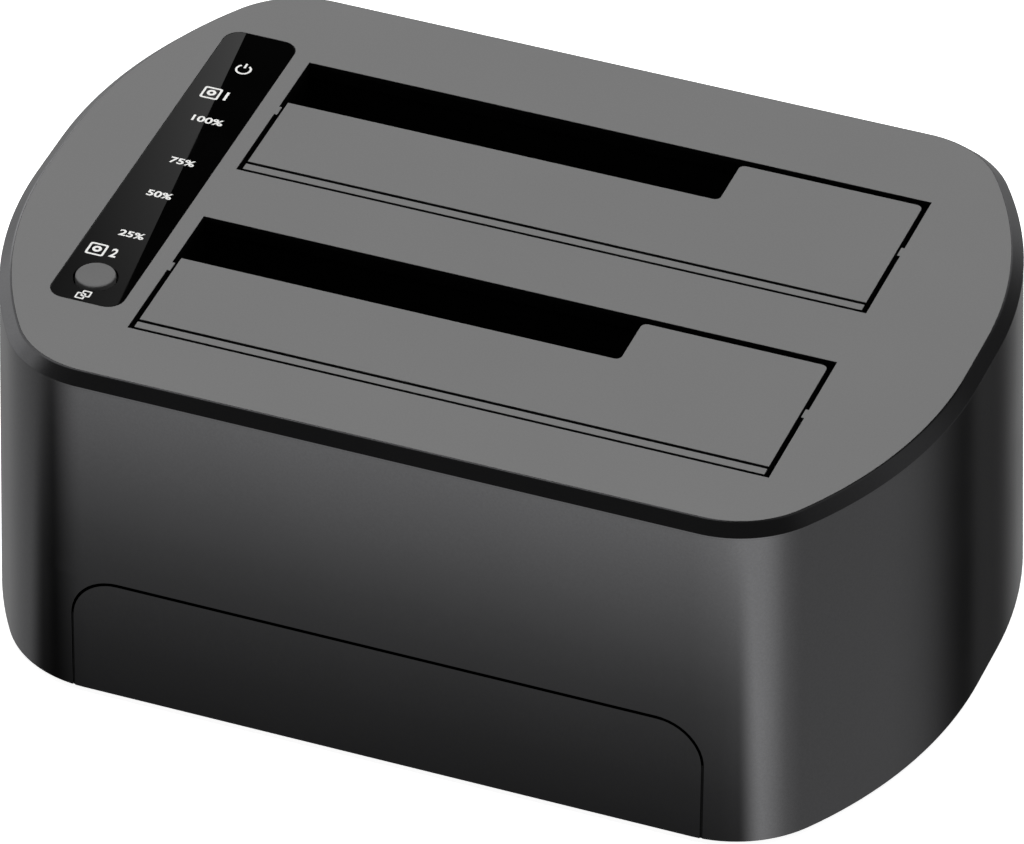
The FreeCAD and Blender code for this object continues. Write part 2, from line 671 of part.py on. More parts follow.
def panel_blank(name, side):
    """The arched piece of wall, with two lugs that stand on the floor plate."""
    prism = new_body(name + "_prism")
    line = new_sketch(prism, "XZ_Plane", (D.face_half_width - 2) * side, name + "_line")
    arch(line, D.panel_half - D.panel_gap * 0.5, D.body_low,
         D.panel_top - D.panel_gap * 0.5, D.panel_corner - D.panel_gap * 0.5)
    pad(prism, line, 10, name + "_block", down=(side == -1))
    face = doc.addObject("Part::MultiCommon", name + "_face")
    face.Shapes = [ring, prism]
    lugs = []
    for number, middle in enumerate((-34.0, 34.0)):
        near = D.face_half_width - 2
        far = D.face_half_width + 1.6
        front, back = (-far, -near) if side == 1 else (near, far)
        lugs.append(box("%s_lug_%d" % (name, number), middle - 5, middle + 5,
                        front, back, D.base_top, D.base_top + 3))
    return fuse(name + "_blank", [face] + lugs)


finish(panel_blank("front_panel", 1), "front_panel")

USB_X, JACK_X, SWITCH_X = -4.0, -26.0, 30.0
USB_HALF, USB_TALL = 6.0, 10.4
JACK_HALF, JACK_TALL = 4.5, 10.0
SWITCH_HALF, SWITCH_TALL, SWITCH_Z = 7.5, 9.6, 15.4
rear_reach = D.face_half_width - 1
holes = fuse("rear_holes", [
    box("usb_hole", USB_X - USB_HALF - 0.2, USB_X + USB_HALF + 0.2,
        rear_reach, rear_reach + 8, D.board_top - 0.2, D.board_top + USB_TALL + 0.2),
    box("jack_hole", JACK_X - JACK_HALF - 0.2, JACK_X + JACK_HALF + 0.2,
        rear_reach, rear_reach + 8, D.board_top - 0.2, D.board_top + JACK_TALL + 0.2),
    box("switch_hole", SWITCH_X - SWITCH_HALF + 1, SWITCH_X + SWITCH_HALF - 1,
        rear_reach, rear_reach + 8, SWITCH_Z - SWITCH_TALL / 2 + 1,
        SWITCH_Z + SWITCH_TALL / 2 - 1),
    box("switch_seat", SWITCH_X - SWITCH_HALF, SWITCH_X + SWITCH_HALF,
        D.face_half_width + 2.4, D.face_half_width + 8,
        SWITCH_Z - SWITCH_TALL / 2, SWITCH_Z + SWITCH_TALL / 2),
])
finish(cut("rear_panel", panel_blank("rear_blank", -1), holes), "rear_panel")

# ---------------------------------------------------------------- floor plate
base = new_body("base_plate")
sk = new_sketch(base, "XY_Plane", D.body_low, "base_line")
housing_outline(sk, low_grow - D.wall_thick - 0.6)
pad(base, sk, D.base_thick, "base_slab")
sk = new_sketch(base, "XY_Plane", D.base_top, "standoff_line")
for x, y in STANDOFFS:
    circle(sk, x, y, 3)
pad(base, sk, D.board_low - D.base_top, "standoffs")
sk = new_sketch(base, "XY_Plane", D.board_low, "standoff_pilot_line")
for x, y in STANDOFFS:
    circle(sk, x, y, 0.9)
pocket(base, sk, 5, "standoff_pilots")
sk = new_sketch(base, "XY_Plane", D.base_top, "case_hole_line")
for x, y in PILLARS:
    circle(sk, x, y, D.screw_radius + 0.2)
pocket(base, sk, D.base_thick + 1, "case_holes")
sk = new_sketch(base, "XY_Plane", D.body_low, "case_sink_line")
for x, y in PILLARS:
    circle(sk, x, y, D.head_radius + 0.2)
pocket(base, sk, 1.1, "case_sinks", up=True)
sk = new_sketch(base, "XY_Plane", D.body_low, "foot_seat_line")
for x, y in FEET:
    circle(sk, x, y, D.foot_radius + 0.1)
pocket(base, sk, 0.7, "foot_seats", up=True)
sk = new_sketch(base, "XY_Plane", D.base_top, "vent_line")
for step in range(7):
    middle = -18.0 + 6.0 * step
    rectangle(sk, middle - 1.2, middle + 1.2, -14, 14)
pocket(base, sk, D.base_thick + 1, "vents")
finish(base, "base_plate")

feet = []
for number, (x, y) in enumerate(FEET):
    feet.append(rod("foot_%d" % number, x, y, 0, D.foot_radius, D.foot_reach + 0.7))
finish(group("rubber_feet", feet), "rubber_feet")

# ---------------------------------------------------------------- drive wells
socket_left = D.slot_left + 0.35
socket_right = socket_left + D.socket_long
for bay, front in BAYS:
    back = front + D.slot_depth
    well = new_body(bay + "_bay")
    sk = new_sketch(well, "XY_Plane", D.bay_low, bay + "_well_line")
    rectangle(sk, D.slot_left - 0.2 - D.bay_wall, D.slot_right + 0.2 + D.bay_wall,
              front - 0.4 - D.bay_wall, back + 0.2 + D.bay_wall)
    pad(well, sk, D.cover_under - D.bay_low, bay + "_well_block")
    sk = new_sketch(well, "XY_Plane", D.cover_under, bay + "_hollow_line")
    rectangle(sk, D.slot_left - 0.2, D.slot_right + 0.2, front - 0.4, back + 0.2)
    pocket(well, sk, D.cover_under - D.bay_floor, bay + "_hollow")
    sk = new_sketch(well, "XY_Plane", D.bay_floor, bay + "_socket_slot_line")
    rectangle(sk, D.slot_left - 0.1, socket_right + 0.4,
              back - D.socket_back - D.socket_wide - 0.3, back - D.socket_back + 0.3)
    pocket(well, sk, D.bay_wall + 1, bay + "_socket_slot")
    # low ribs that a drive stands on
    sk = new_sketch(well, "XY_Plane", D.bay_floor, bay + "_rest_line")
    for step in range(4):
        middle = D.slot_right - 5.7 - 12.0 * step
        rectangle(sk, middle - 0.8, middle + 0.8, front + 4, back - 0.5)
    pad(well, sk, 1.2, bay + "_rests")
    # legs that stand on the main board
    sk = new_sketch(well, "XY_Plane", D.bay_low, bay + "_leg_line")
    rectangle(sk, D.slot_left - 1.7, D.slot_left - 0.3, front + 2, front + 6)
    rectangle(sk, D.slot_left - 1.7, D.slot_left - 0.3, back - 6, back - 2)
    rectangle(sk, D.slot_right - 3.4, D.slot_right - 0.8, front + 8, front + 11)
    rectangle(sk, D.slot_right - 3.4, D.slot_right - 0.8, back - 11, back - 8)
    pad(well, sk, D.bay_low - D.board_top, bay + "_legs", down=True)
    finish(well, bay + "_bay")

# ---------------------------------------------------------------- hinges
# start and end of each piece along X: brackets of the rail, knuckles of the flap
middle_x = D.slot_shift
BRACKETS = ((flap_left + 0.15, flap_left + 6.1), (middle_x - 17, middle_x - 11),
            (middle_x + 11, middle_x + 17), (flap_right - 6.1, flap_right - 0.15))
KNUCKLES = ((flap_left + 6.4, flap_left + 16.6), (middle_x - 10.7, middle_x - 3),
            (middle_x + 3, middle_x + 10.7), (flap_right - 16.6, flap_right - 6.4))
pin_start = flap_left + 0.6
pin_long = flap_right - flap_left - 1.2
rails, pins = [], []
for bay, front in BAYS:
    parts = [box(bay + "_strip", flap_left, flap_right, front + D.rail_front,
                 front + D.rail_back, D.overall_height - D.rail_thick, D.overall_height)]
    for number, (low, high) in enumerate(BRACKETS):
        parts.append(box("%s_bracket_%d" % (bay, number),
                         low, high,
                         front - 0.4, front + D.rail_back,
                         pivot_z - 1.3, D.overall_height - D.rail_thick))
    hole = rod(bay + "_rail_bore", pin_start, front + D.pivot_in, pivot_z,
               D.pin_radius, pin_long, "x")
    rails.append(cut(bay + "_rail", fuse(bay + "_rail_blank", parts), hole))
    pins.append(rod(bay + "_pin", pin_start, front + D.pivot_in, pivot_z,
                    D.pin_radius, pin_long, "x"))
finish(group("hinge_rails", rails), "hinge_rails")
finish(group("hinge_pins", pins), "hinge_pins")

# ---------------------------------------------------------------- flaps
split = D.slot_left + D.small_length
for bay, front in BAYS:
    back = front + D.slot_depth
    edge = back - D.small_depth
    plate = new_body(bay + "_flap_plate")
    sk = new_sketch(plate, "XY_Plane", D.overall_height, bay + "_plate_line")
    rectangle(sk, flap_left, flap_right, front + D.flap_start, edge)
    pad(plate, sk, D.flap_thick, bay + "_plate", down=True)
    sk = new_sketch(plate, "XY_Plane", D.overall_height, bay + "_tongue_line")
    rounded(sk, split, flap_right, edge - 6, back - D.back_gap, 1.0)
    pad(plate, sk, D.flap_thick, bay + "_tongue", down=True)
    sk = new_sketch(plate, "XY_Plane", D.overall_height, bay + "_corner_line")
    rectangle(sk, split - 1.0, split + 0.5, edge - 0.5, edge + 1.0)
    pad(plate, sk, D.flap_thick, bay + "_corner", down=True)
    sk = new_sketch(plate, "XY_Plane", D.overall_height, bay + "_corner_arc_line")
    circle(sk, split - 1.0, edge + 1.0, 1.0)
    pocket(plate, sk, D.flap_thick + 1, bay + "_corner_arc")
    # stiffening ribs under the plate
    sk = new_sketch(plate, "XY_Plane", D.overall_height - D.flap_thick, bay + "_stiffener_line")
    rectangle(sk, flap_left + 3, flap_right - 3, front + 6, front + 7)
    rectangle(sk, flap_left + 3, split + 1, edge - 2, edge - 1)
    for step in range(5):
        middle = D.slot_shift - 40 + 20 * step
        rectangle(sk, middle - 0.5, middle + 0.5, front + 7, edge - 2)
    pad(plate, sk, 0.9, bay + "_stiffeners", down=True)
    parts = [plate]
    for number, (low, high) in enumerate(KNUCKLES):
        parts.append(rod("%s_knuckle_%d" % (bay, number), low,
                         front + D.pivot_in, pivot_z, D.barrel_radius, high - low, "x"))
        parts.append(box("%s_arm_%d" % (bay, number),
                         low, high,
                         front + D.pivot_in, front + D.flap_start + 1.6,
                         pivot_z - D.barrel_radius, D.overall_height - D.flap_thick - 0.35))
        parts.append(box("%s_arm_top_%d" % (bay, number),
                         low, high,
                         front + D.flap_start, front + D.flap_start + 1.6,
                         pivot_z, D.overall_height - D.flap_thick + 0.4))
    near = front + D.slot_depth - D.small_depth - D.stop_back
    far = near + D.stop_size
    low_z = D.inlay_under - 2
    high_z = D.inlay_under - 0.8 - 0.05
    parts.append(box(bay + "_left_ear", D.slot_left + 0.3, flap_left + 2, near, far,
                     low_z, high_z))
    parts.append(box(bay + "_right_ear", flap_right - 2, D.slot_right - 0.3, near, far,
                     low_z, high_z))
    parts.append(box(bay + "_left_ear_root", flap_left, flap_left + 2, near, far,
                     low_z, D.overall_height - D.flap_thick + 0.4))
    parts.append(box(bay + "_right_ear_root", flap_right - 2, flap_right, near, far,
                     low_z, D.overall_height - D.flap_thick + 0.4))
    hole = rod(bay + "_flap_bore", flap_left, front + D.pivot_in, pivot_z,
               D.pin_radius + 0.06, flap_right - flap_left, "x")
    flap = cut(bay + "_flap", fuse(bay + "_flap_blank", parts), hole)
    finish(flap, bay + "_flap")

# close-wound torsion springs round the pins, beside the second bracket: one
# leg lies along the well's wall and the other under the flap
for bay, front in BAYS:
    coil = cut(bay + "_coil",
               rod(bay + "_coil_outside", middle_x - 21.0, front + D.pivot_in, pivot_z,
                   D.pin_radius + 0.48, 3.8, "x"),
               rod(bay + "_coil_inside", middle_x - 22.0, front + D.pivot_in, pivot_z,
                   D.pin_radius + 0.12, 6, "x"))
    fixed_leg = box(bay + "_fixed_leg", middle_x - 21.0, middle_x - 20.66,
                    front + D.pivot_in - D.pin_radius - 0.48,
                    front + D.pivot_in - D.pin_radius - 0.14, pivot_z - 8, pivot_z)
    free_leg = box(bay + "_free_leg", middle_x - 17.54, middle_x - 17.2,
                   front + D.pivot_in, front + D.pivot_in + 4.4,
                   pivot_z + D.pin_radius + 0.16, pivot_z + D.pin_radius + 0.48)
    spring = fuse(bay + "_flap_spring", [coil, fixed_leg, free_leg])
    finish(spring, bay + "_flap_spring")

# ---------------------------------------------------------------- clone button
button = new_body("clone_button")
sk = new_sketch(button, "XY_Plane", D.overall_height + D.button_rise, "button_cap_line")
circle(sk, D.button_across, D.button_along, D.button_radius)
pad(button, sk, D.button_rise + D.cover_thick + 1, "button_cap", down=True)
sk = new_sketch(button, "XY_Plane", D.cover_under - 0.05, "button_flange_line")
circle(sk, D.button_across, D.button_along, D.button_radius + 1.2)
pad(button, sk, 0.95, "button_flange", down=True)
finish(button, "clone_button")

# ---------------------------------------------------------------- indicator board
strip_board_low = D.strip_board_top - D.board_thick
board = new_body("indicator_board")
sk = new_sketch(board, "XY_Plane", D.strip_board_top, "strip_board_line")
rectangle(sk, D.strip_left - 0.2, D.strip_right - 0.2, D.strip_front + 0.2, D.strip_back - 0.7)
pad(board, sk, D.board_thick, "strip_board", down=True)
sk = new_sketch(board, "XY_Plane", D.strip_board_top, "strip_board_hole_line")
for x, y in BOARD_POSTS:
    circle(sk, x, y, 1.2)
pocket(board, sk, D.board_thick + 1, "strip_board_holes")
finish(board, "indicator_board")

leds = [box("led_%d" % number, LIGHTS_X - 0.8, LIGHTS_X + 0.8, y - 1.1, y + 1.1,
            D.strip_board_top, D.strip_board_top + 0.8)
        for number, y in enumerate(LIGHTS_Y)]
finish(group("status_leds", leds), "status_leds")
switch_top = D.cover_under - 1.0 - 0.35
tact = fuse("tact_switch", [
    box("tact_body", D.button_across - 3, D.button_across + 3, D.button_along - 3,
        D.button_along + 3, D.strip_board_top, D.strip_board_top + 1.9),
    rod("tact_plunger", D.button_across, D.button_along, D.strip_board_top + 1.9, 1.6,
        switch_top - 0.7 - D.strip_board_top - 1.9),
])
finish(tact, "tact_switch")

upper_x = D.strip_left + 4.8
lower_x = D.slot_left - 3.2
ribbon_y = D.slot_first + D.slot_depth + 3.15
finish(box("board_header_upper", upper_x - 2.5, upper_x + 2.5, ribbon_y - 6, ribbon_y + 6,
           strip_board_low - 4, strip_board_low), "board_header_upper")
finish(box("board_header_lower", lower_x - 1.1, lower_x + 1.1, ribbon_y - 5.5, ribbon_y + 5.5,
           D.board_top, D.board_top + 4.2), "board_header_lower")
ribbon = new_body("ribbon_cable")
sk = new_sketch(ribbon, "XZ_Plane", 4.5 - ribbon_y, "ribbon_line")
top_z = strip_board_low - 4
low_z = D.board_top + 4.2
polygon(sk, [(upper_x - 0.4, top_z), (upper_x - 0.4, low_z + 10), (lower_x - 0.4, low_z + 4),
             (lower_x - 0.4, low_z), (lower_x + 0.4, low_z), (lower_x + 0.4, low_z + 4.4),
             (upper_x + 0.4, low_z + 10.4), (upper_x + 0.4, top_z)])
pad(ribbon, sk, 9, "ribbon", down=True)
finish(ribbon, "ribbon_cable")

# ---------------------------------------------------------------- main board
main = new_body("main_board")
sk = new_sketch(main, "XY_Plane", D.board_top, "main_board_line")
polygon(sk, [(main_left, main_front), (main_right, main_front), (main_right, main_middle),
             (40, main_middle), (40, main_back), (-34, main_back), (-34, main_middle),
             (main_left, main_middle)])
pad(main, sk, D.board_thick, "main_slab", down=True)
sk = new_sketch(main, "XY_Plane", D.board_top, "main_hole_line")
for x, y in STANDOFFS:
    circle(sk, x, y, 1.2)
pocket(main, sk, D.board_thick + 1, "main_holes")
finish(main, "main_board")


def on_board(name, x, y, long, wide, tall):
    """A block on the main board, placed from the bays' right and front edges."""
    x = D.slot_right - x
    y = D.slot_first + y
    return box(name, x - long / 2, x + long / 2, y - wide / 2, y + wide / 2,
               D.board_top, D.board_top + tall)


finish(group("bridge_chips", [
    on_board("bridge_chip_0", 41.7, 36.7, 12, 12, 1.4),
    on_board("bridge_chip_1", 21.7, 62.7, 10, 10, 1.2),
]), "bridge_chips")
chips = []
for number, (x, y, long, wide) in enumerate((
        (25.7, 12.7, 5, 4), (15.7, 30.7, 5, 6), (D.slot_length - 33.3, 33.7, 5, 4),
        (49.7, 14.7, 6, 5),
        (33.7, 66.7, 5, 4), (79.7, 8.7, 5, 4))):
    chips.append(on_board("small_chip_%d" % number, x, y, long, wide, 1.1))
finish(group("small_chips", chips), "small_chips")
cans = []
for number, (x, y) in enumerate((
        (D.slot_left + 7.3, 34.7), (D.slot_left + 13.3, 34.7), (D.slot_right - 25.7, 3.7),
        (D.slot_right - 9.7, 68.7), (D.slot_right - 69.7, 3.7))):
    cans.append(rod("can_%d" % number, x, D.slot_first + y, D.board_top, 2.5, 5.2))
finish(group("capacitors", cans), "capacitors")
finish(on_board("crystal", 29.7, 36.7, 4.6, 10.5, 3.4), "crystal")

# drive sockets: one long slot with two keyed cavities, and a horn at each end
sockets, contacts = [], []
for bay, front in BAYS:
    back = front + D.slot_depth
    high_y = back - D.socket_back
    low_y = high_y - D.socket_wide
    middle = high_y - D.socket_wide * 0.5
    slot_low = D.board_top + 2.3
    slot_high = D.board_top + D.horn_tall + 1
    horn_top = D.board_top + D.horn_tall
    blank = fuse(bay + "_socket_blank", [
        box(bay + "_socket_body", socket_left, socket_right, low_y, high_y,
            D.board_top, D.board_top + D.socket_tall),
        box(bay + "_horn_a", socket_left, socket_left + 2.4, middle - 1.4, middle + 1.4,
            D.board_top, horn_top),
        box(bay + "_horn_b", socket_right - 2.4, socket_right, middle - 1.4, middle + 1.4,
            D.board_top, horn_top),
    ])
    hollow = fuse(bay + "_socket_hollow", [
        box(bay + "_signal_slot", socket_left + 4.4, socket_left + 15.2,
            middle - 1.1, middle + 0.9, slot_low, slot_high),
        box(bay + "_signal_key", socket_left + 4.4, socket_left + 5.7,
            middle - 2.0, middle + 0.9, slot_low, slot_high),
        box(bay + "_power_slot", socket_left + 17.2, socket_left + 38.2,
            middle - 1.1, middle + 0.9, slot_low, slot_high),
        box(bay + "_power_key", socket_left + 36.9, socket_left + 38.2,
            middle - 2.0, middle + 0.9, slot_low, slot_high),
    ])
    sockets.append(cut(bay + "_socket", blank, hollow))
    for number in range(22):
        shift = 6.4 + 1.27 * number if number < 7 else 17.9 + 1.27 * (number - 7)
        contacts.append(box("%s_contact_%d" % (bay, number),
                            socket_left + shift - 0.3, socket_left + shift + 0.3,
                            middle + 0.6, middle + 0.9,
                            slot_low + 0.6, D.board_top + D.socket_tall - 0.8))
finish(group("sata_sockets", sockets), "sata_sockets")
finish(group("sata_contacts", contacts), "sata_contacts")

# ---------------------------------------------------------------- rear ports
port_face = D.face_half_width + 2.9
usb = cut("usb_port",
          box("usb_shell", USB_X - USB_HALF, USB_X + USB_HALF, port_face - 16, port_face,
              D.board_top, D.board_top + USB_TALL),
          fuse("usb_hollow", [
              box("usb_lower", USB_X - 4.3, USB_X + 4.3, port_face - 9, port_face + 1,
                  D.board_top + 0.6, D.board_top + 6.8),
              box("usb_upper", USB_X - 3.0, USB_X + 3.0, port_face - 9, port_face + 1,
                  D.board_top + 5, D.board_top + 9.8),
          ]))
finish(usb, "usb_port")
finish(fuse("usb_tongue", [
    box("usb_tongue_low", USB_X - 2.7, USB_X + 2.7, port_face - 9, port_face - 1.2,
        D.board_top + 2.2, D.board_top + 4.6),
    box("usb_tongue_high", USB_X - 2.0, USB_X + 2.0, port_face - 9, port_face - 1.2,
        D.board_top + 7.6, D.board_top + 8.4),
]), "usb_tongue")
jack_z = D.board_top + 5.2
jack = cut("dc_jack",
           box("jack_body", JACK_X - JACK_HALF, JACK_X + JACK_HALF, port_face - 13,
               port_face, D.board_top, D.board_top + JACK_TALL),
           rod("jack_bore", JACK_X, port_face - 9.5, jack_z, 3.1, 10.5, "y"))
finish(jack, "dc_jack")
finish(rod("dc_pin", JACK_X, port_face - 9.5, jack_z, 1.0, 8.5, "y"), "dc_pin")

# rocker switch: the cap turns about an upright axis
switch_face = D.face_half_width + 3.1
pivot_y = switch_face - 2.2
housing = cut("power_switch",
              fuse("switch_blank", [
                  box("switch_frame", SWITCH_X - SWITCH_HALF + 0.1, SWITCH_X + SWITCH_HALF - 0.1,
                      D.face_half_width + 2.4, switch_face,
                      SWITCH_Z - SWITCH_TALL / 2 + 0.1, SWITCH_Z + SWITCH_TALL / 2 - 0.1),
                  box("switch_body", SWITCH_X - SWITCH_HALF + 1.2, SWITCH_X + SWITCH_HALF - 1.2,
                      switch_face - 11, switch_face - 0.2,
                      SWITCH_Z - SWITCH_TALL / 2 + 1.2, SWITCH_Z + SWITCH_TALL / 2 - 1.2),
              ]),
              fuse("switch_hollow", [
                  box("switch_well", SWITCH_X - SWITCH_HALF + 1.9, SWITCH_X + SWITCH_HALF - 1.9,
                      switch_face - 5.2, switch_face + 1,
                      SWITCH_Z - SWITCH_TALL / 2 + 2.0, SWITCH_Z + SWITCH_TALL / 2 - 2.0),
                  rod("switch_bores", SWITCH_X, pivot_y, SWITCH_Z - 3.3, 0.76, 6.6),
              ]))
finish(housing, "power_switch")
rocker = new_body("rocker_cap")
sk = new_sketch(rocker, "XY_Plane", -2.5, "rocker_line")
polygon(sk, [(-5.1, -0.6), (-1.2, -1.9), (1.2, -1.9), (5.1, -0.6), (5.1, 2.0),
             (0, 1.5), (-5.1, 2.0)])
pad(rocker, sk, 5.0, "rocker_block")
turned = fuse("power_rocker", [rocker, rod("rocker_pins", 0, 0, -3.2, 0.7, 6.4)])
turned.Placement.Rotation = FreeCAD.Rotation(FreeCAD.Vector(0, 0, 1), -7)
turned.Placement.Base.x = SWITCH_X
turned.setExpression("Placement.Base.y", pivot_y.text)
turned.Placement.Base.z = SWITCH_Z
finish(turned, "power_rocker")

# ---------------------------------------------------------------- fasteners
def screw(name, x, y, head_low, radius, head, head_tall, long):
    """A pan-head screw, head down, with a slotted recess."""
    solid = fuse(name + "_solid", [
        rod(name + "_head", x, y, head_low, head, head_tall),
        rod(name + "_shank", x, y, head_low + head_tall, radius, long),
    ])
    recess = box(name + "_recess", x - head * 0.6, x + head * 0.6, y - 0.4, y + 0.4,
                 head_low - 1, head_low + head_tall * 0.5)
    return cut(name, solid, recess)


screws = []
for number, (x, y) in enumerate(PILLARS):
    screws.append(screw("base_screw_%d" % number, x, y, D.body_low + 0.1,
                        1.3, 2.8, 1.0, 8.0))
for number, (x, y, rib) in enumerate(BOSSES):
    screws.append(screw("cover_screw_%d" % number, x, y, D.boss_top - 3.5,
                        1.3, 2.8, 1.0, 8.0))
finish(group("case_screws", screws), "case_screws")
small = []
for number, (x, y) in enumerate(STANDOFFS):
    item = rod("board_screw_%d" % number, x, y, D.board_top - 5.5, 0.9, 5.5)
    head = rod("board_head_%d" % number, x, y, D.board_top, 1.9, 1.2)
    small.append(fuse("board_fastener_%d" % number, [item, head]))
for number, (x, y) in enumerate(BOARD_POSTS):
    item = rod("strip_screw_%d" % number, x, y, strip_board_low, 0.9, 5.0)
    head = rod("strip_head_%d" % number, x, y, strip_board_low - 1.2, 1.9, 1.2)
    small.append(fuse("strip_fastener_%d" % number, [item, head]))
finish(group("board_screws", small), "board_screws")

# ---------------------------------------------------------------- export
doc.recompute()
problems = []
for item in doc.Objects:
    if "Invalid" in item.State or "Error" in item.State:
        problems.append(item.Label)
for item in PARTS:
    if item.Shape.isNull() or not item.Shape.isValid():
        problems.append(item.Label + " is not valid")
if problems:
    raise RuntimeError("; ".join(problems))
for before, after in CUTS:
    if after.Shape.Volume >= before.Shape.Volume - 0.001:
        problems.append(after.Label + " removes nothing")
if problems:
    raise RuntimeError("; ".join(problems))
os.makedirs("parts", exist_ok=True)
for item in PARTS:
    item.Shape.exportStep("parts/%s.step" % item.Label)
    print("%-20s %9.1f mm3  solids %d" % (item.Label, item.Shape.Volume, len(item.Shape.Solids)))
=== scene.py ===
import json
import math

import bmesh
import bpy
import numpy as np
from mathutils import Matrix, Vector

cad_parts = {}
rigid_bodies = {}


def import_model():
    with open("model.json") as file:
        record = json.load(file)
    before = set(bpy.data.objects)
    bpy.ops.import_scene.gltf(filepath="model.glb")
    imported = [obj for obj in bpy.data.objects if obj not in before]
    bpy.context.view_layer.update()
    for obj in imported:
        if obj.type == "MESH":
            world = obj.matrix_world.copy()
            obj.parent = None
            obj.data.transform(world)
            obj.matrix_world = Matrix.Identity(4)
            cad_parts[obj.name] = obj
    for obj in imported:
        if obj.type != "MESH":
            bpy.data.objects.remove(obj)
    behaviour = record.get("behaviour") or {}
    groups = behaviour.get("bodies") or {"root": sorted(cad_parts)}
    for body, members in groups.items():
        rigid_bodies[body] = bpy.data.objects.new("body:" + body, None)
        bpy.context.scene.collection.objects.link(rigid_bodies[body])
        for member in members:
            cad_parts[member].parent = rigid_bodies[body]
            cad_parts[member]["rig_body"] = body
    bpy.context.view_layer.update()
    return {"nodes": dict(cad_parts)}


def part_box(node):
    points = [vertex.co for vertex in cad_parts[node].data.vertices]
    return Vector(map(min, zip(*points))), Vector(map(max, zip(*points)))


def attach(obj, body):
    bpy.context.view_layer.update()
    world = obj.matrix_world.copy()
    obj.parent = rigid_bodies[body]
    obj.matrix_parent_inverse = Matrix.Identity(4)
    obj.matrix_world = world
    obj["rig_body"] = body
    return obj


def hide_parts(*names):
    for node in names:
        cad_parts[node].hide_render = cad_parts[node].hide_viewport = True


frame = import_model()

# Housing wall: one deep tub of ABS, injection moulded with a slight draft and
# sprayed in graphite lacquer. Its plan has long straight sides, flat-nosed
# round ends and tighter corner arcs; front and rear have an arched opening.
MM = 0.001
END_ARC, CORNER_ARC, END_FLAT = 70.2, 15.5, 4.7
HIGH_GROW, LOW_GROW, BEVEL_DROP, RIM_LAP = 2.1, 3.65, 1.7, 0.38
WALL, SEAM, ARCH_CORNER = 2.2, 0.4, 7.5


def span(node):
    """Lowest and highest corner of a CAD node, in millimetres."""
    low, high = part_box(node)
    return np.array(low) / MM, np.array(high) / MM


HALF_LONG, HALF_WIDE, TOP = span("top_inlay")[1]
WALL_LOW, WALL_HIGH = span("body_shell")[0][2], TOP - BEVEL_DROP
RIM_JOINT = WALL_HIGH - RIM_LAP
BIG_X, CORNER_Y = HALF_LONG - END_ARC, HALF_WIDE - CORNER_ARC
TURN = math.asin((CORNER_Y - END_FLAT) / (END_ARC - CORNER_ARC))
CORNER_X = BIG_X + (END_ARC - CORNER_ARC) * math.cos(TURN)
CORNER_END = CORNER_X + CORNER_ARC * (math.pi / 2 - TURN)
ARC_END = CORNER_END + END_ARC * TURN
QUARTER = ARC_END + END_FLAT


def plan(along, grow):
    """Point of the housing's plan at a distance along it, counted on the face
    plate's edge from the middle of the front; grow moves the line outwards. Each
    quarter is a straight side, an arc of the corner's radius, an arc of the end's
    radius and a short flat nose, and the other quarters mirror it."""
    along, grow = np.broadcast_arrays(np.asarray(along, float) % (4 * QUARTER), grow)
    side = np.minimum(along // QUARTER, 3).astype(int)
    q = np.choose(side, [along, 2 * QUARTER - along, along - 2 * QUARTER, 4 * QUARTER - along])
    corner = (q - CORNER_X) / CORNER_ARC
    end = TURN - (q - CORNER_END) / END_ARC
    parts = [q < CORNER_X, q < CORNER_END, q < ARC_END]
    x = np.select(parts, [q, CORNER_X + (CORNER_ARC + grow) * np.sin(corner),
                          BIG_X + (END_ARC + grow) * np.cos(end)], HALF_LONG + grow)
    y = np.select(parts, [-HALF_WIDE - grow, -CORNER_Y - (CORNER_ARC + grow) * np.cos(corner),
                          -END_FLAT - (END_ARC + grow) * np.sin(end)], q - QUARTER)
    return x * np.where(side < 2, 1, -1), y * np.where((side == 0) | (side == 3), 1, -1)


def drafted(z):
    """How far the wall stands outside the face plate's edge at height z: a
    straight line from the growth under the rim to the growth at the foot."""
    return HIGH_GROW + (LOW_GROW - HIGH_GROW) * (WALL_HIGH - z) / (WALL_HIGH - WALL_LOW)


def along_front(x, grow):
    """Distance along the plan of the point of the front that has that x: x itself
    on the straight side, and past it the corner's arc whose sine reaches x."""
    over = np.clip((np.abs(x) - CORNER_X) / (CORNER_ARC + grow), 0, 1)
    return np.where(np.abs(x) < CORNER_X, x, np.sign(x) * (CORNER_X + CORNER_ARC * np.arcsin(over)))


def arch_half(z, half, top, corner):
    """Half the width of an arch at height z: upright sides, and above them
    shoulders that follow a quarter circle."""
    rise = np.clip(z - (top - corner), 0, corner)
    return half - corner + np.sqrt(corner ** 2 - rise ** 2)


def shoulder(top, corner, steps):
    """Heights that follow an arch's rounded shoulder in even turns."""
    return top - corner + corner * np.sin(np.linspace(0, math.pi / 2, steps))


def drafted_wall(along, z, inset=0.0):
    """Points of the drafted wall at distances along the plan and heights z: the
    plan line grown by the draft at that height, less an inset."""
    x, y = plan(along, drafted(z) - inset)
    return np.stack(np.broadcast_arrays(x, y, z), -1)


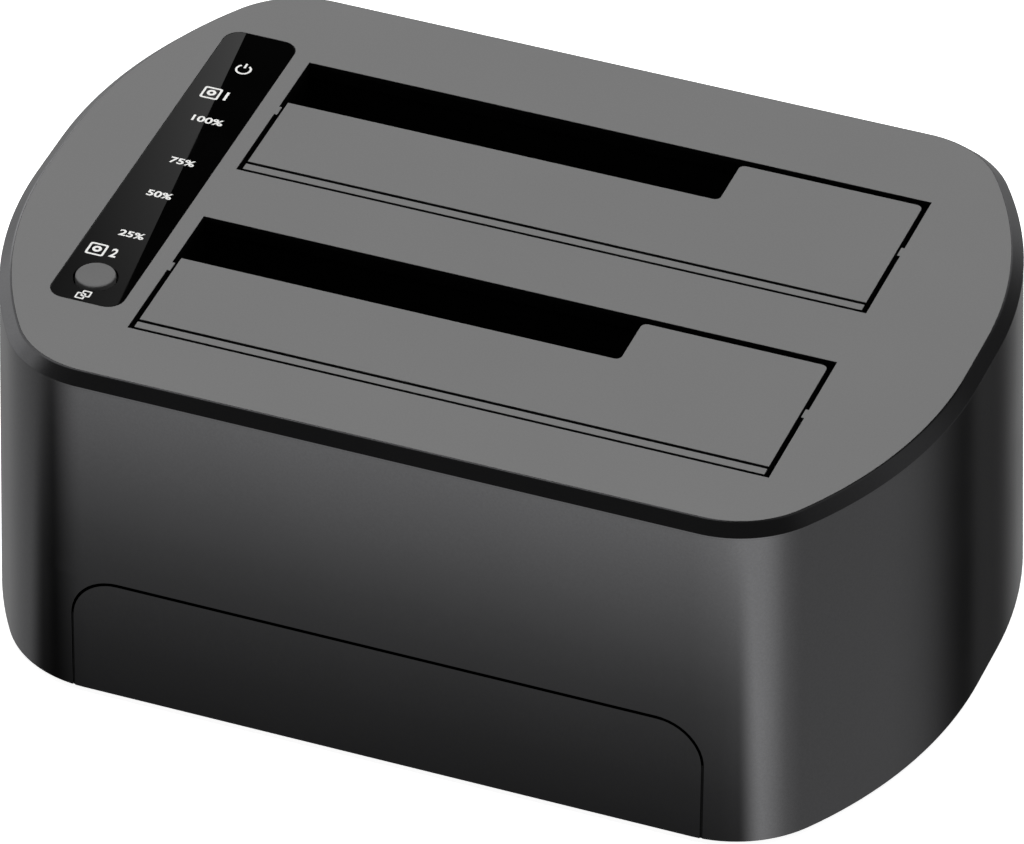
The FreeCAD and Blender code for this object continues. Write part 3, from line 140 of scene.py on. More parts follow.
def closed_wall(outer, inner, keep, wrap=False):
    """Points and quads of the solid between two surfaces on one grid of rows and
    columns. keep says which cells are solid; a quad joins both surfaces wherever
    a solid cell meets an open one or the rim. wrap joins last column to first."""
    rows, columns = outer.shape[:2]
    number = np.arange(rows * columns).reshape(rows, columns)
    after = np.roll(number, -1, 1) if wrap else number[:, 1:]
    start = number if wrap else number[:, :-1]
    back = rows * columns
    cell = np.stack([start[:-1], after[:-1], after[1:], start[1:]], -1)[keep]
    faces = [cell, cell[:, ::-1] + back]
    solid = keep.astype(int)
    for a, b, turn in (
            (start, after, np.diff(np.pad(solid, ((1, 1), (0, 0))), axis=0)),
            (number[1:], number[:-1],
             solid - np.roll(solid, 1, 1) if wrap
             else np.diff(np.pad(solid, ((0, 0), (1, 1))), axis=1))):
        for first, second, sign in ((b, a, 1), (a, b, -1)):
            edge = turn == sign
            faces.append(np.stack([first[edge], second[edge],
                                   second[edge] + back, first[edge] + back], -1))
    faces = np.concatenate(faces)
    used, faces = np.unique(faces, return_inverse=True)
    points = np.concatenate([outer.reshape(-1, 3), inner.reshape(-1, 3)])[used]
    return points, faces.reshape(-1, 4)


def stand(name, data):
    """A new object with that mesh, curve, light or camera, stood in the scene."""
    made = bpy.data.objects.new(name, data)
    bpy.context.scene.collection.objects.link(made)
    return made


def piece(name, points, faces, finish, nodes=(), slot=None, body=None, ease=0.0, crease=40):
    """Makes a piece from points in millimetres and faces, stands it for CAD nodes,
    and rounds its edges by ease. Without ease, edges past crease degrees are sharp."""
    mesh = bpy.data.meshes.new(name)
    mesh.from_pydata((np.asarray(points, float) * MM).tolist(), [],
                     faces if isinstance(faces, list) else faces.tolist())
    work = bmesh.new()
    work.from_mesh(mesh)
    bmesh.ops.recalc_face_normals(work, faces=work.faces)
    work.to_mesh(mesh)
    work.free()
    mesh.polygons.foreach_set("use_smooth", np.ones(len(mesh.polygons), bool))
    mesh.materials.append(finish)
    made = stand(name, mesh)
    if ease:
        edge = made.modifiers.new("rounded_edges", "BEVEL")
        edge.width, edge.segments, edge.limit_method = ease * MM, 2, "ANGLE"
        edge.angle_limit, edge.harden_normals = math.radians(40), True
        edge.use_clamp_overlap = True
    else:
        mesh.set_sharp_from_angle(angle=math.radians(crease))
    if nodes:
        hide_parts(*nodes)
    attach(made, body or frame["nodes"][nodes[0]]["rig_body"])
    return made


def linear(colour):
    """An sRGB hex colour as linear red, green, blue and alpha."""
    parts = [int(colour[i:i + 2], 16) / 255 for i in (1, 3, 5)]
    return tuple(c / 12.92 if c <= 0.04045 else ((c + 0.055) / 1.055) ** 2.4
                 for c in parts) + (1.0,)


def add(tree, kind, links=(), stops=(), to=None, out=0, **settings):
    """Adds one shader node and returns its output out, which feeds the socket to.
    links are (input, socket or value) pairs, stops the (place, colour) pairs of a
    ramp, and settings the node's own properties."""
    node = tree.nodes.new("ShaderNode" + kind)
    for key, value in settings.items():
        setattr(node, key, value)
    for key, value in links:
        if isinstance(value, bpy.types.NodeSocket):
            tree.links.new(value, node.inputs[key])
        else:
            node.inputs[key].default_value = value
    for number, (at, colour) in enumerate(stops):
        points = node.color_ramp.elements
        point = points[number] if number < 2 else points.new(at)
        point.position = at
        point.color = colour if isinstance(colour, tuple) else (colour, colour, colour, 1)
    if to:
        tree.links.new(node.outputs[out], to)
    return node.outputs[out]


def start_finish(name, **sockets):
    """A new material with values set on its shader's own sockets; returns it with
    its node tree, those sockets and the Object place."""
    material = bpy.data.materials.new(name)
    material.use_nodes = True
    tree = material.node_tree
    shader = tree.nodes["Principled BSDF"].inputs
    for key, value in sockets.items():
        shader[key.replace("_", " ")].default_value = value
    return material, tree, shader, add(tree, "TexCoord", out="Object")


def vary(tree, pattern, low, high, to=None, colour=None, below=0.3, above=0.7):
    """A value that goes from low to high while a pattern goes from below to above;
    with a colour it is that colour times the value. It feeds the socket to."""
    value = add(tree, "MapRange", [(0, pattern), (1, below), (2, above), (3, low), (4, high)],
                to=None if colour else to)
    if not colour:
        return value
    return add(tree, "VectorMath", [(0, linear(colour)[:3]), ("Scale", value)], to=to,
               operation="SCALE")


# how far from the middle the front's painted shade ends and its full colour begins, at the
# foot, and how much each comes in for a millimetre of height
PAINTED_SHADE_TO, UNSHADED_FROM = (56.8, -0.025), (60.5, -0.055)
# share of the full grey that the painted shade leaves, by height as a share of the whole
PAINTED_SHADE_BY_HEIGHT = [(0.03, 0.115), (0.95, 1.0), (0.17, 0.16), (0.30, 0.225), (0.43, 0.30),
        (0.53, 0.39), (0.67, 0.57), (0.80, 0.77), (0.90, 0.93)]


def graphite_lacquer(name, with_painted_shade):
    """Graphite lacquer: a dark pearl of fine flakes under a clear coat, so it
    shows soft bands of its surroundings. With painted shade, the front's colour is
    painted darker towards the foot. Flakes are drawn about 0.4 mm across, to show."""
    material, tree, shader, place = start_finish(name, Metallic=1.0)
    flakes = add(tree, "TexNoise", [("Vector", place), ("Scale", 2600.0), ("Detail", 2.0)])
    flake_and_shade = vary(tree, flakes, 0.96, 1.04)
    if with_painted_shade:
        axes = add(tree, "SeparateXYZ", [(0, place)]).node.outputs
        height = add(tree, "Math", [(0, axes["Z"]), (1, TOP * MM)], operation="DIVIDE")
        painted_shade = add(tree, "ValToRGB", [(0, height)], stops=PAINTED_SHADE_BY_HEIGHT)
        # the painted shade leaves the corners at full colour, across a blend that narrows towards
        # the rim
        across = add(tree, "Math", [(0, axes["X"])], operation="ABSOLUTE")
        shade_to, unshaded_from = (
            add(tree, "Math", [(0, axes["Z"]), (1, lean), (2, foot * MM)],
                operation="MULTIPLY_ADD") for foot, lean in (PAINTED_SHADE_TO, UNSHADED_FROM))
        shade_share = add(tree, "MapRange", [(0, across), (1, shade_to), (2, unshaded_from), (3, painted_shade),
                                      (4, 1.0)], interpolation_type="SMOOTHSTEP")
        # the rear half gets no painted shade
        behind = add(tree, "Math", [(0, axes["Y"]), (1, 0.0)], operation="GREATER_THAN")
        shade_share = add(tree, "Math", [(0, shade_share), (1, behind)], operation="MAXIMUM")
        flake_and_shade = add(tree, "Math", [(0, flake_and_shade), (1, shade_share)], operation="MULTIPLY")
    add(tree, "VectorMath", [(0, linear("#9c9c9e")[:3]), ("Scale", flake_and_shade)],
        to=shader["Base Color"], operation="SCALE")
    # faint handling haze, in patches of about 20 mm
    haze = add(tree, "TexNoise", [("Vector", place), ("Scale", 50.0), ("Detail", 3.0)])
    vary(tree, haze, 0.15, 0.20, shader["Roughness"], below=0.35, above=0.65)
    # orange peel of the lacquer, about 1.5 mm from crest to crest
    peel = add(tree, "TexNoise", [("Vector", place), ("Scale", 650.0), ("Detail", 1.0)])
    add(tree, "Bump", [("Height", peel), ("Strength", 0.06), ("Distance", 0.04 * MM)],
        to=shader["Normal"])
    return material


# lacquer of the wall and both panels, with painted shade: darker towards the foot on the front
shaded_wall_lacquer = graphite_lacquer("graphite_lacquer_with_painted_shade_to_the_foot", True)
panel_high = span("front_panel")[1]
ARCH = (panel_high[0] + SEAM, panel_high[2] + SEAM, ARCH_CORNER + SEAM / 2)
# rows of the wall, closer where the arch turns
heights = np.concatenate([[WALL_LOW, 4, 8, 11], shoulder(*ARCH[1:], 13),
                          [27, 33, 39, 45, 51, 55.5, RIM_JOINT]])[:, None]
opening = along_front(arch_half(np.minimum(heights, ARCH[1]), *ARCH), drafted(heights))
# columns of one quarter: evenly across the arch, then through the corner and end
inner_columns = np.linspace(0, 1, 13)[:-1]
lead = np.linspace(0, 1, 11)[:-1]
CORNER_JOIN = CORNER_X + 5.0
tail = np.concatenate([np.linspace(CORNER_JOIN, CORNER_END, 14)[:-1],
                       np.linspace(CORNER_END, ARC_END, 22)[:-1],
                       np.linspace(ARC_END, QUARTER, 3)])
quarter = np.concatenate([opening * inner_columns, opening + (CORNER_JOIN - opening) * lead,
                          np.broadcast_to(tail, (len(heights), len(tail)))], axis=1)
half = np.concatenate([quarter, 2 * QUARTER - quarter[:, -2::-1]], axis=1)
ring = np.concatenate([half[:, :-1], 2 * QUARTER + half[:, :-1]], axis=1)
solid = np.ones((len(heights) - 1, ring.shape[1]), bool)
middle = ring.shape[1] // 2
in_arch = len(inner_columns)
below = np.flatnonzero(heights[:-1, 0] < ARCH[1] - 1e-6)
for column in (*range(-in_arch, in_arch), *range(middle - in_arch, middle + in_arch)):
    solid[below, column] = False
piece("housing_wall", *closed_wall(drafted_wall(ring, heights),
                                   drafted_wall(ring, heights, WALL), solid, wrap=True),
      shaded_wall_lacquer, ["body_shell"], "graphite_housing", ease=0.05)

# Front and rear panels: arched ABS inserts in the same lacquer, snapped into the
# wall from inside so that only a fine dark seam shows. The rear one has square
# openings for the ports and a seat for the rocker switch.
# the seam is this much wider over the arch than at its sides
TOP_SEAM = 0.12
PORT_PLAY, SWITCH_PLAY = 0.2, 0.1


def panel(side, holes):
    """Arched piece of the drafted wall, on a grid of rows of one height each and of
    columns that are upright in the middle and follow the arch's sides at both ends.
    holes are (left, right, low, high); the cells in them are left out."""
    half, top, corner = panel_high[0], panel_high[2] - TOP_SEAM, ARCH_CORNER - SEAM / 2
    rows = [WALL_LOW, 3, 5, 7.5, *shoulder(top, corner, 13)]
    rows = np.unique(np.round(rows + [z for hole in holes for z in hole[2:]], 4))[:, None]
    flat = half - corner - 3
    columns = np.unique(np.round([*np.linspace(-flat, flat, 15),
                                  *(x for hole in holes for x in hole[:2])], 4))
    edge = arch_half(rows, half, top, corner)
    lead = np.linspace(0, 1, 9)[1:]
    x = np.concatenate([-(flat + (edge - flat) * lead)[:, ::-1],
                        np.broadcast_to(columns, (len(rows), len(columns))),
                        flat + (edge - flat) * lead], axis=1)
    keep = np.ones((len(rows) - 1, x.shape[1] - 1), bool)
    for left, right, low, high in holes:
        keep &= ~((rows[:-1] > low - 1e-3) & (rows[1:] < high + 1e-3)
                  & (x[:-1, :-1] > left - 1e-3) & (x[:-1, 1:] < right + 1e-3))
    along = along_front(x, drafted(rows))
    if side > 0:
        along = 2 * QUARTER - along
    return closed_wall(drafted_wall(along, rows), drafted_wall(along, rows, WALL), keep)


piece("front_insert", *panel(-1, []), shaded_wall_lacquer, ["front_panel"],
      "graphite_housing", ease=0.05)
port_holes = []
for node, play in (("usb_port", PORT_PLAY), ("dc_jack", PORT_PLAY), ("power_switch", SWITCH_PLAY)):
    low, high = span(node)
    port_holes.append((low[0] - play, high[0] + play, low[2] - play, high[2] + play))
piece("rear_insert", *panel(1, port_holes), shaded_wall_lacquer, ["rear_panel"],
      "graphite_housing", ease=0.05)

# Light traps: black tongues moulded on the panels' edges, which fill the upright
# parts of the seams below the surface, so that no light comes through. Their dull
# ABS is near black, painted shade for the dark inside of a seam, so a seam reads as a line.
TONGUE_PLAY, TONGUE_DEPTH, TONGUE_INSIDE = 0.02, 0.15, WALL - 0.1
seam_shade_black, tree, shader, place = start_finish("black_lip_with_painted_seam_shade", Roughness=0.6,
                                               Specular_IOR_Level=0.2)
drag = add(tree, "TexNoise", [("Vector", place), ("Scale", 1500.0)])
# painted shade: the tongues' colour is near black so the seams read dark
vary(tree, drag, 0.7, 1.3, shader["Base Color"], "#030303", 0.0, 1.0)
trap_rows = np.array([WALL_LOW, 6.0, 11.0, 15.0])[:, None]
for side, name in ((-1, "front_seam_tongues"), (1, "rear_seam_tongues")):
    inner, outer = panel_high[0] + TONGUE_PLAY, panel_high[0] + SEAM - TONGUE_PLAY
    trap = along_front(np.array([-outer, -inner, inner, outer]), LOW_GROW)
    trap = np.broadcast_to(trap if side < 0 else 2 * QUARTER - trap, (4, 4))
    piece(name, *closed_wall(drafted_wall(trap, trap_rows, TONGUE_DEPTH),
                             drafted_wall(trap, trap_rows, TONGUE_INSIDE),
                             np.broadcast_to([True, False, True], (3, 3))),
          seam_shade_black, body="housing")

# Top cover: a moulded ABS lid in the same lacquer. Its bevelled rim shows all round;
# the plate inside the rim is the seat of the face plate and indicator strip.
rim_lacquer = graphite_lacquer("graphite_lacquer_on_the_rim", False)
window_low, window_high = span("indicator_window")
# from the outline inwards or outwards: the face plate's edge, the rim's edge beside
# it, the lip over the wall, the seat's width, and the rim's inner side
PLATE_EDGE, RIM_EDGE, RIM_LIP, RIM_SEAT, RIM_INNER = 0.18, 0.19, 0.06, 3.0, 0.5
COVER_DEEP = 2.8
INLAY_UNDER, COVER_UNDER = span("top_inlay")[0][2], TOP - COVER_DEEP
# outline distance from the face plate's edge, and height, round the rim's section:
# a lip over the wall, the bevel, a narrow facet beside the face plate, and its seat
RIM_SECTION = np.array([(drafted(RIM_JOINT) + RIM_LIP, RIM_JOINT),
                        (HIGH_GROW + RIM_LIP, WALL_HIGH - RIM_LIP),
                        (0.55, TOP - 0.225), (0.45, TOP - 0.13),
                        (RIM_EDGE, TOP - 0.03), (RIM_EDGE, INLAY_UNDER),
                        (-RIM_SEAT, INLAY_UNDER), (-RIM_SEAT, COVER_UNDER),
                        (-RIM_INNER, COVER_UNDER), (-RIM_INNER, RIM_JOINT)])
round_plan = ring[-1]


def carried(section):
    """Points and quads of a closed section of (outline distance, height) points
    carried round the plan."""
    x, y = plan(round_plan, section[:, :1])
    points = np.stack(np.broadcast_arrays(x, y, section[:, 1:]), -1)
    number = np.arange(x.size).reshape(x.shape)
    ahead, over = np.roll(number, -1, 1), np.roll(number, -1, 0)
    faces = np.stack([number, ahead, np.roll(ahead, -1, 0), over], -1)
    return points.reshape(-1, 3), faces.reshape(-1, 4)


def box_loop(left, right, front, back):
    """Outline of a rectangle, from corner to corner."""
    return np.array([(left, front), (right, front), (right, back), (left, back)])


def round_loop(left, right, front, back, radius, steps=9):
    """Outline of a rectangle whose corners are quarter circles of a radius."""
    turn = np.linspace(0, math.pi / 2, steps)
    turns = (np.arange(4)[:, None] * math.pi / 2 + turn).ravel()
    x = np.repeat([right - radius, left + radius, left + radius, right - radius], steps)
    y = np.repeat([back - radius, back - radius, front + radius, front + radius], steps)
    return np.column_stack([x + radius * np.cos(turns), y + radius * np.sin(turns)])


def ring_loop(x, y, radius, steps=48):
    """Outline of a circle: cosine and sine of even turns, times the radius."""
    turn = np.arange(steps) * 2 * math.pi / steps
    return np.column_stack([x + radius * np.cos(turn), y + radius * np.sin(turn)])


def sheet_mesh(name, loops, low, high, ease):
    """Points and faces of a flat sheet between two heights, cut to closed outlines,
    the widest outside and the rest openings, with rounded edges."""
    curve = bpy.data.curves.new(name, "CURVE")
    curve.dimensions, curve.fill_mode = "2D", "BOTH"
    curve.extrude = ((high - low) / 2 - ease) * MM
    curve.bevel_depth, curve.bevel_resolution, curve.offset = ease * MM, 1, -ease * MM
    for loop in loops:
        spline = curve.splines.new("POLY")
        spline.points.add(len(loop) - 1)
        flat = np.zeros((len(loop), 4))
        flat[:, :2] = loop * MM
        spline.points.foreach_set("co", flat.ravel())
        spline.use_cyclic_u = True
    points, faces = curve_mesh(curve)
    return points / MM + (0, 0, (low + high) / 2), faces


def cut_sheet(name, loops, low, high, finish, nodes=(), slot=None, body=None, ease=0.06):
    """A piece of flat sheet; see sheet_mesh."""
    return piece(name, *sheet_mesh(name, loops, low, high, ease), finish, nodes, slot, body,
                 crease=15)


def curve_mesh(curve):
    """Points and faces of a flat curve or lettering, with its caps joined up."""
    pattern = stand(curve.name + "_pattern", curve)
    depsgraph = bpy.context.evaluated_depsgraph_get()
    mesh = bpy.data.meshes.new_from_object(pattern.evaluated_get(depsgraph))
    bpy.data.objects.remove(pattern)
    points = np.empty(len(mesh.vertices) * 3)
    mesh.vertices.foreach_get("co", points)
    return merged(points.reshape(-1, 3), [tuple(face.vertices) for face in mesh.polygons])


def merged(points, faces):
    """The same surface with points that share a place made one."""
    _, first, same = np.unique(np.round(points, 7), axis=0, return_index=True,
                               return_inverse=True)
    same = same.reshape(-1)
    slim = [tuple(dict.fromkeys(same[list(face)].tolist())) for face in faces]
    return points[first], [face for face in slim if len(face) > 2]


piece("cover_rim", *carried(RIM_SECTION), rim_lacquer, ["top_cover"], "graphite_housing",
      ease=0.04)


def black_moulding(name, colour, grain, rough_low, rough_high):
    """Matt black moulded plastic: a spark-eroded grain, of the given size in
    millimetres, breaks the light up, so it looks deep black and dull, with slightly
    shinier patches where hands and drives rub it."""
    material, tree, shader, place = start_finish(name, IOR=1.5)
    grains = add(tree, "TexNoise", [("Vector", place), ("Scale", 1 / (grain * MM)),
                                    ("Detail", 3.0)])
    rubbed = add(tree, "TexNoise", [("Vector", place), ("Scale", 90.0), ("Detail", 4.0)])
    vary(tree, grains, 0.8, 1.25, shader["Base Color"], colour)
    vary(tree, rubbed, rough_low, rough_high, shader["Roughness"], below=0.35, above=0.65)
    add(tree, "Bump", [("Height", grains), ("Strength", 0.25), ("Distance", 0.06 * MM)],
        to=shader["Normal"])
    return material


bare_black = black_moulding("bare_black_grained_abs", "#060606", 0.4, 0.45, 0.7)
STRIP_CORNER = 2.6


def strip_loop(grow, corner):
    """Outline of the indicator strip, grown on all sides."""
    return round_loop(window_low[0] - grow, window_high[0] + grow,
                      window_low[1] - grow, window_high[1] + grow, corner)


button_low, button_high = span("clone_button")
BUTTON, BUTTON_BORE = (button_low[:2] + button_high[:2]) / 2, 3.5
lights_low, lights_high = span("status_leds")
LIGHTS_X, LIGHT_WELL = (lights_low[0] + lights_high[0]) / 2, 1.25
# lamps for power, bay 1 and the four shares, counted from the strip's rear end
LIGHTS_Y = [window_high[1] - down for down in (9.2, 16.8, 23.7, 35.1, 44.2, 55.2)]
rail_low, rail_high = span("hinge_rails")
# from a mouth's side to the rail's end, and from its front edge to the rail's arms,
# the strip's front and back, and the flap; then the well's rear wall
SIDE_GAP, RAIL_ARM, RAIL_FRONT, RAIL_BACK, FLAP_FRONT, WELL_WALL = 0.9, 0.4, 0.3, 2.05, 2.35, 1.7
SLOT_LEFT, SLOT_RIGHT = rail_low[0] - SIDE_GAP, rail_high[0] + SIDE_GAP
SLOT_FRONTS = (rail_low[1] + RAIL_ARM, rail_high[1] - RAIL_BACK)
SLOT_DEPTH = span("front_bay")[1][1] - WELL_WALL - SLOT_FRONTS[0]
mouths = [box_loop(SLOT_LEFT, SLOT_RIGHT, y, y + SLOT_DEPTH) for y in SLOT_FRONTS]
seat_edge = np.column_stack(plan(round_plan, -RIM_SEAT))
cut_sheet("cover_plate", [seat_edge, strip_loop(0, STRIP_CORNER), *mouths], COVER_UNDER,
          INLAY_UNDER, bare_black, body="housing", slot="graphite_housing")
cut_sheet("window_seat", [strip_loop(0.5, 3.0), ring_loop(*BUTTON, BUTTON_BORE), *(
    box_loop(LIGHTS_X - LIGHT_WELL, LIGHTS_X + LIGHT_WELL, y - LIGHT_WELL, y + LIGHT_WELL)
    for y in LIGHTS_Y)],
    COVER_UNDER, window_low[2], bare_black, body="housing", slot="graphite_housing")

# Face plate: a flat ABS sheet in mid grey, sprayed matt, glued into the rim. Both
# drive mouths and the strip's opening are cut in it; two small stops stand into
# each mouth and hold the closed flap level.
STOP_DEEP, STOP_REACH, STOP_BACK, NOTCH, SPRAY_AND_SHADE_DEEP = 2.1, 0.5, 3.55, 11.1, 0.06
STOP_FROM = SLOT_DEPTH - NOTCH - STOP_BACK


def matt_grey(name, colour, grain=1.0, spray_and_shade_from=0.0):
    """Matt sprayed ABS: a soft even grey with a fine spark-eroded grain of about
    0.3 mm, its depth scaled by grain, and faint cloudiness, so that it shows no
    reflections. With a height given, in millimetres, only the face above it has the
    grey spray, and below it the colour is near black: partly a two-tone finish,
    partly painted shade on the cut edges."""
    material, tree, shader, place = start_finish(name, IOR=1.5)
    cloud = add(tree, "TexNoise", [("Vector", place), ("Scale", 35.0), ("Detail", 3.0)])
    grains = add(tree, "TexNoise", [("Vector", place), ("Scale", 3300.0), ("Detail", 2.0),
                                    ("Roughness", 0.6)])
    pattern_and_edge_shade = add(tree, "Math", [(0, vary(tree, cloud, 0.985, 1.015)),
                              (1, vary(tree, grains, 0.97, 1.03))], operation="MULTIPLY")
    # painted shade: below the given height the cut edges are made near black
    if spray_and_shade_from:
        height = add(tree, "SeparateXYZ", [(0, place)], out="Z")
        spray_and_shade = vary(tree, height, 0.03, 1.0, below=(spray_and_shade_from - 0.02) * MM,
                     above=(spray_and_shade_from + 0.02) * MM)
        pattern_and_edge_shade = add(tree, "Math", [(0, pattern_and_edge_shade), (1, spray_and_shade)], operation="MULTIPLY")
    add(tree, "VectorMath", [(0, linear(colour)[:3]), ("Scale", pattern_and_edge_shade)],
        to=shader["Base Color"], operation="SCALE")
    vary(tree, cloud, 0.62, 0.70, shader["Roughness"])
    add(tree, "Bump", [("Height", grains), ("Strength", 0.12 * grain), ("Distance", 0.05 * MM)],
        to=shader["Normal"])
    return material


def stopped_mouth(front):
    """Outline of a drive mouth with its two side stops."""
    near, far, back = front + STOP_FROM, front + STOP_FROM + STOP_DEEP, front + SLOT_DEPTH
    left, right = SLOT_LEFT, SLOT_RIGHT
    return np.array([
        (left, front), (right, front), (right, near), (right - STOP_REACH, near),
        (right - STOP_REACH, far), (right, far), (right, back), (left, back),
        (left, far), (left + STOP_REACH, far), (left + STOP_REACH, near), (left, near)])


# the face plate, flaps and rails get painted shade: their cut edges are near black under the grey
# top
face_grey = matt_grey("matt_grey_sprayed_abs_with_painted_edge_shade", "#747474", spray_and_shade_from=TOP - SPRAY_AND_SHADE_DEEP)
cut_sheet("face_plate", [np.column_stack(plan(round_plan, PLATE_EDGE)), strip_loop(0.1, 2.7),
                         *(stopped_mouth(y) for y in SLOT_FRONTS)],
          INLAY_UNDER, TOP, face_grey, ["top_inlay"], "grey_face", ease=0.05)

# Indicator strip: a long window of dark smoked acrylic over the lamps, polished, so
# that it mirrors the studio sharply over near black, with faint smears of wiping.
smoked, tree, shader, place = start_finish("polished_smoked_acrylic", IOR=1.49)
smear = add(tree, "TexNoise", [("Vector", place), ("Scale", 60.0), ("Detail", 4.0)])
vary(tree, smear, 0.0, 0.02, shader["Roughness"], below=0.4)
vary(tree, smear, 0.8, 1.2, shader["Base Color"], "#040404")
cut_sheet("indicator_strip", [strip_loop(0, STRIP_CORNER), ring_loop(*BUTTON, BUTTON_BORE)],
          window_low[2], TOP, smoked, ["indicator_window"], "smoked_window", ease=0.05)

# Markings: white ink, screen printed on the strip 0.02 mm thick, dull and slightly
# mottled. They are a power sign, a drive sign with its number for each bay, the
# shares of the copy done, and a copy sign by the button.
ink, tree, shader, place = start_finish("white_screen_ink", Roughness=0.45)
mottle = add(tree, "TexNoise", [("Vector", place), ("Scale", 4000.0)])
vary(tree, mottle, 0.86, 1.0, shader["Base Color"], "#f4f4f2", 0.0, 1.0)
INK = (TOP + 0.005, TOP + 0.025)


def lettering(name, words, left, right, middle, tall):
    """Bold plain digits, stretched evenly to fill a box from left to right, of a
    height about its middle."""
    font = bpy.data.curves.new(name, "FONT")
    font.body, font.offset, font.extrude = words, 0.025, 0.01
    points, faces = curve_mesh(font)
    low, high = points.min(0), points.max(0)
    start = np.array((left, middle - tall / 2, INK[0]))
    reach = np.array((right - left, tall, INK[1] - INK[0]))
    return piece(name, start + (points - low) / (high - low) * reach, faces, ink, body="housing")


def stroke(x, y, wide):
    """Outline of a line of ink through points, with square ends: the path moved by
    half the width to each side, square to its run."""
    path = np.column_stack([x, y]).astype(float)
    run = np.gradient(path, axis=0)
    run /= np.linalg.norm(run, axis=1)[:, None]
    side = np.column_stack([-run[:, 1], run[:, 0]]) * wide / 2
    return np.concatenate([path + side, (path - side)[::-1]])


def printed(name, loops):
    """A flat mark of ink."""
    return cut_sheet(name, loops, *INK, ink, body="housing", ease=0.004)


def frame_sign(x, y, half, line, corner):
    """Outlines of a square frame of ink with rounded corners."""
    inner = half - line
    return [round_loop(x - half, x + half, y - half, y + half, corner),
            round_loop(x - inner, x + inner, y - inner, y + inner, corner / 2)]


# the shares end in line at the right, and the longest is a millimetre wider
MARK_RIGHT, SHARE_WIDE, SHARE_TALL = window_high[0] - 3.3, 4.1, 1.55
for share, y in zip((100, 75, 50, 25), LIGHTS_Y[2:]):
    wide = SHARE_WIDE + (1.0 if share == 100 else 0.0)
    lettering("mark_%d" % share, "%d%%" % share, MARK_RIGHT - wide, MARK_RIGHT, y, SHARE_TALL)
# power sign: a ring open at the top, with a bar in its gap
POWER_X, POWER_Y, POWER_RING, POWER_LINE = LIGHTS_X + 2.4, LIGHTS_Y[0], 1.15, 0.34
turn = np.radians(np.linspace(125, 415, 25))
printed("mark_power_ring", [stroke(POWER_X + POWER_RING * np.cos(turn),
                                   POWER_Y + POWER_RING * np.sin(turn), POWER_LINE)])
printed("mark_power_bar", [box_loop(POWER_X - POWER_LINE / 2, POWER_X + POWER_LINE / 2,
                                    POWER_Y + 0.35, POWER_Y + 1.55)])
# drive signs: a square case with a platter in it, and the bay's number to its right
CASE_HALF, CASE_LINE, PLATTER, HUB, BAY_TALL = 1.5, 0.35, 0.75, 0.3, 2.2
for bay, x, y, wide in ((1, LIGHTS_X + 0.1, LIGHTS_Y[1], 0.45),
                        (2, LIGHTS_X - 0.7, LIGHTS_Y[5] - 5.3, 1.1)):
    printed("mark_drive_%d" % bay, frame_sign(x, y, CASE_HALF, CASE_LINE, 0.4))
    printed("mark_platter_%d" % bay, [ring_loop(x, y + 0.1, PLATTER, 24),
                                      ring_loop(x, y + 0.1, HUB, 16)])
    lettering("mark_bay_%d" % bay, str(bay), x + 2.3, x + 2.3 + wide, y, BAY_TALL)
# copy sign: two small frames, one over the other
for number, shift in ((0, -0.35), (1, 0.35)):
    printed("mark_copy_%d" % number, frame_sign(BUTTON[0] + shift, BUTTON[1] - 4.75 + shift,
                                                0.75, 0.25, 0.2))

# Clone button: a turned-looking cap moulded in grey ABS, slightly dished, that
# slides in the strip's hole; its flange under the cover keeps it in. It has a
# shallower grain than the face plate, so it looks a little smoother.
CAP, FLANGE, FLANGE_HIGH, DISH, DISH_DEEP = 3.1, 4.3, 0.95, 2.6, 0.16
button_grey = matt_grey("satin_grey_button_abs", "#686868", 0.5)


def capped(rings, low, high):
    """Points and faces of a closed skin: quads join each ring of points to the
    next, and a fan closes each end ring to its own middle point."""
    rows, steps = rings.shape[:2]
    number = np.arange(rows * steps).reshape(rows, steps)
    ahead = np.roll(number, -1, 1)
    quads = np.stack([number[:-1], ahead[:-1], ahead[1:], number[1:]], -1).reshape(-1, 4)
    fans = np.concatenate([
        np.column_stack([ahead[0], number[0], np.full(steps, number.size)]),
        np.column_stack([number[-1], ahead[-1], np.full(steps, number.size + 1)])])
    return np.concatenate([rings.reshape(-1, 3), [low, high]]), quads.tolist() + fans.tolist()


def turned(profile, x, y, steps=64):
    """Points and faces of a solid of revolution about an upright axis; profile is
    (radius, height) points from the lower pole to the upper one."""
    profile = np.asarray(profile, float)
    turn = np.arange(steps) * 2 * math.pi / steps
    radius, z = profile[1:-1, :1], profile[1:-1, 1:]
    rings = np.stack(np.broadcast_arrays(x + radius * np.cos(turn), y + radius * np.sin(turn),
                                         z), -1)
    return capped(rings, (x, y, profile[0, 1]), (x, y, profile[-1, 1]))


def eased_corner(radius, height, ease, up=1, steps=5):
    """Profile points of a quarter circle that rounds a turned corner, from the side
    to the end face."""
    turn = np.linspace(0, math.pi / 2, steps)
    return [(radius - ease + ease * math.cos(t), height + up * (ease * math.sin(t) - ease))
            for t in turn]


cap_low, cap_top = button_low[2], button_high[2]
dish = [(r, cap_top - DISH_DEEP * (1 - (r / DISH) ** 2)) for r in (2.4, 1.8, 1.2, 0.6, 0.0)]
piece("button_cap", *turned(
    [(0, cap_low), *eased_corner(FLANGE, cap_low, 0.15, -1)[::-1],
     *eased_corner(FLANGE, cap_low + FLANGE_HIGH, 0.15), (CAP, cap_low + FLANGE_HIGH),
     *eased_corner(CAP, cap_top, 0.28), *dish], *BUTTON),
    button_grey, ["clone_button"], "grey_button")

# Bay flaps and hinge rails: two hinged lids and their fixed strips, moulded in the
# face plate's grey. A flap is a thin plate with ribs, knuckles and side ears under
# it, notched so that a small drive can pass; each turns on a ground steel pin.
# corners closer than MELD are one; an edge less than EDGE_LOW under the top is upper
MELD, EDGE_LOW = 0.002, 1.3


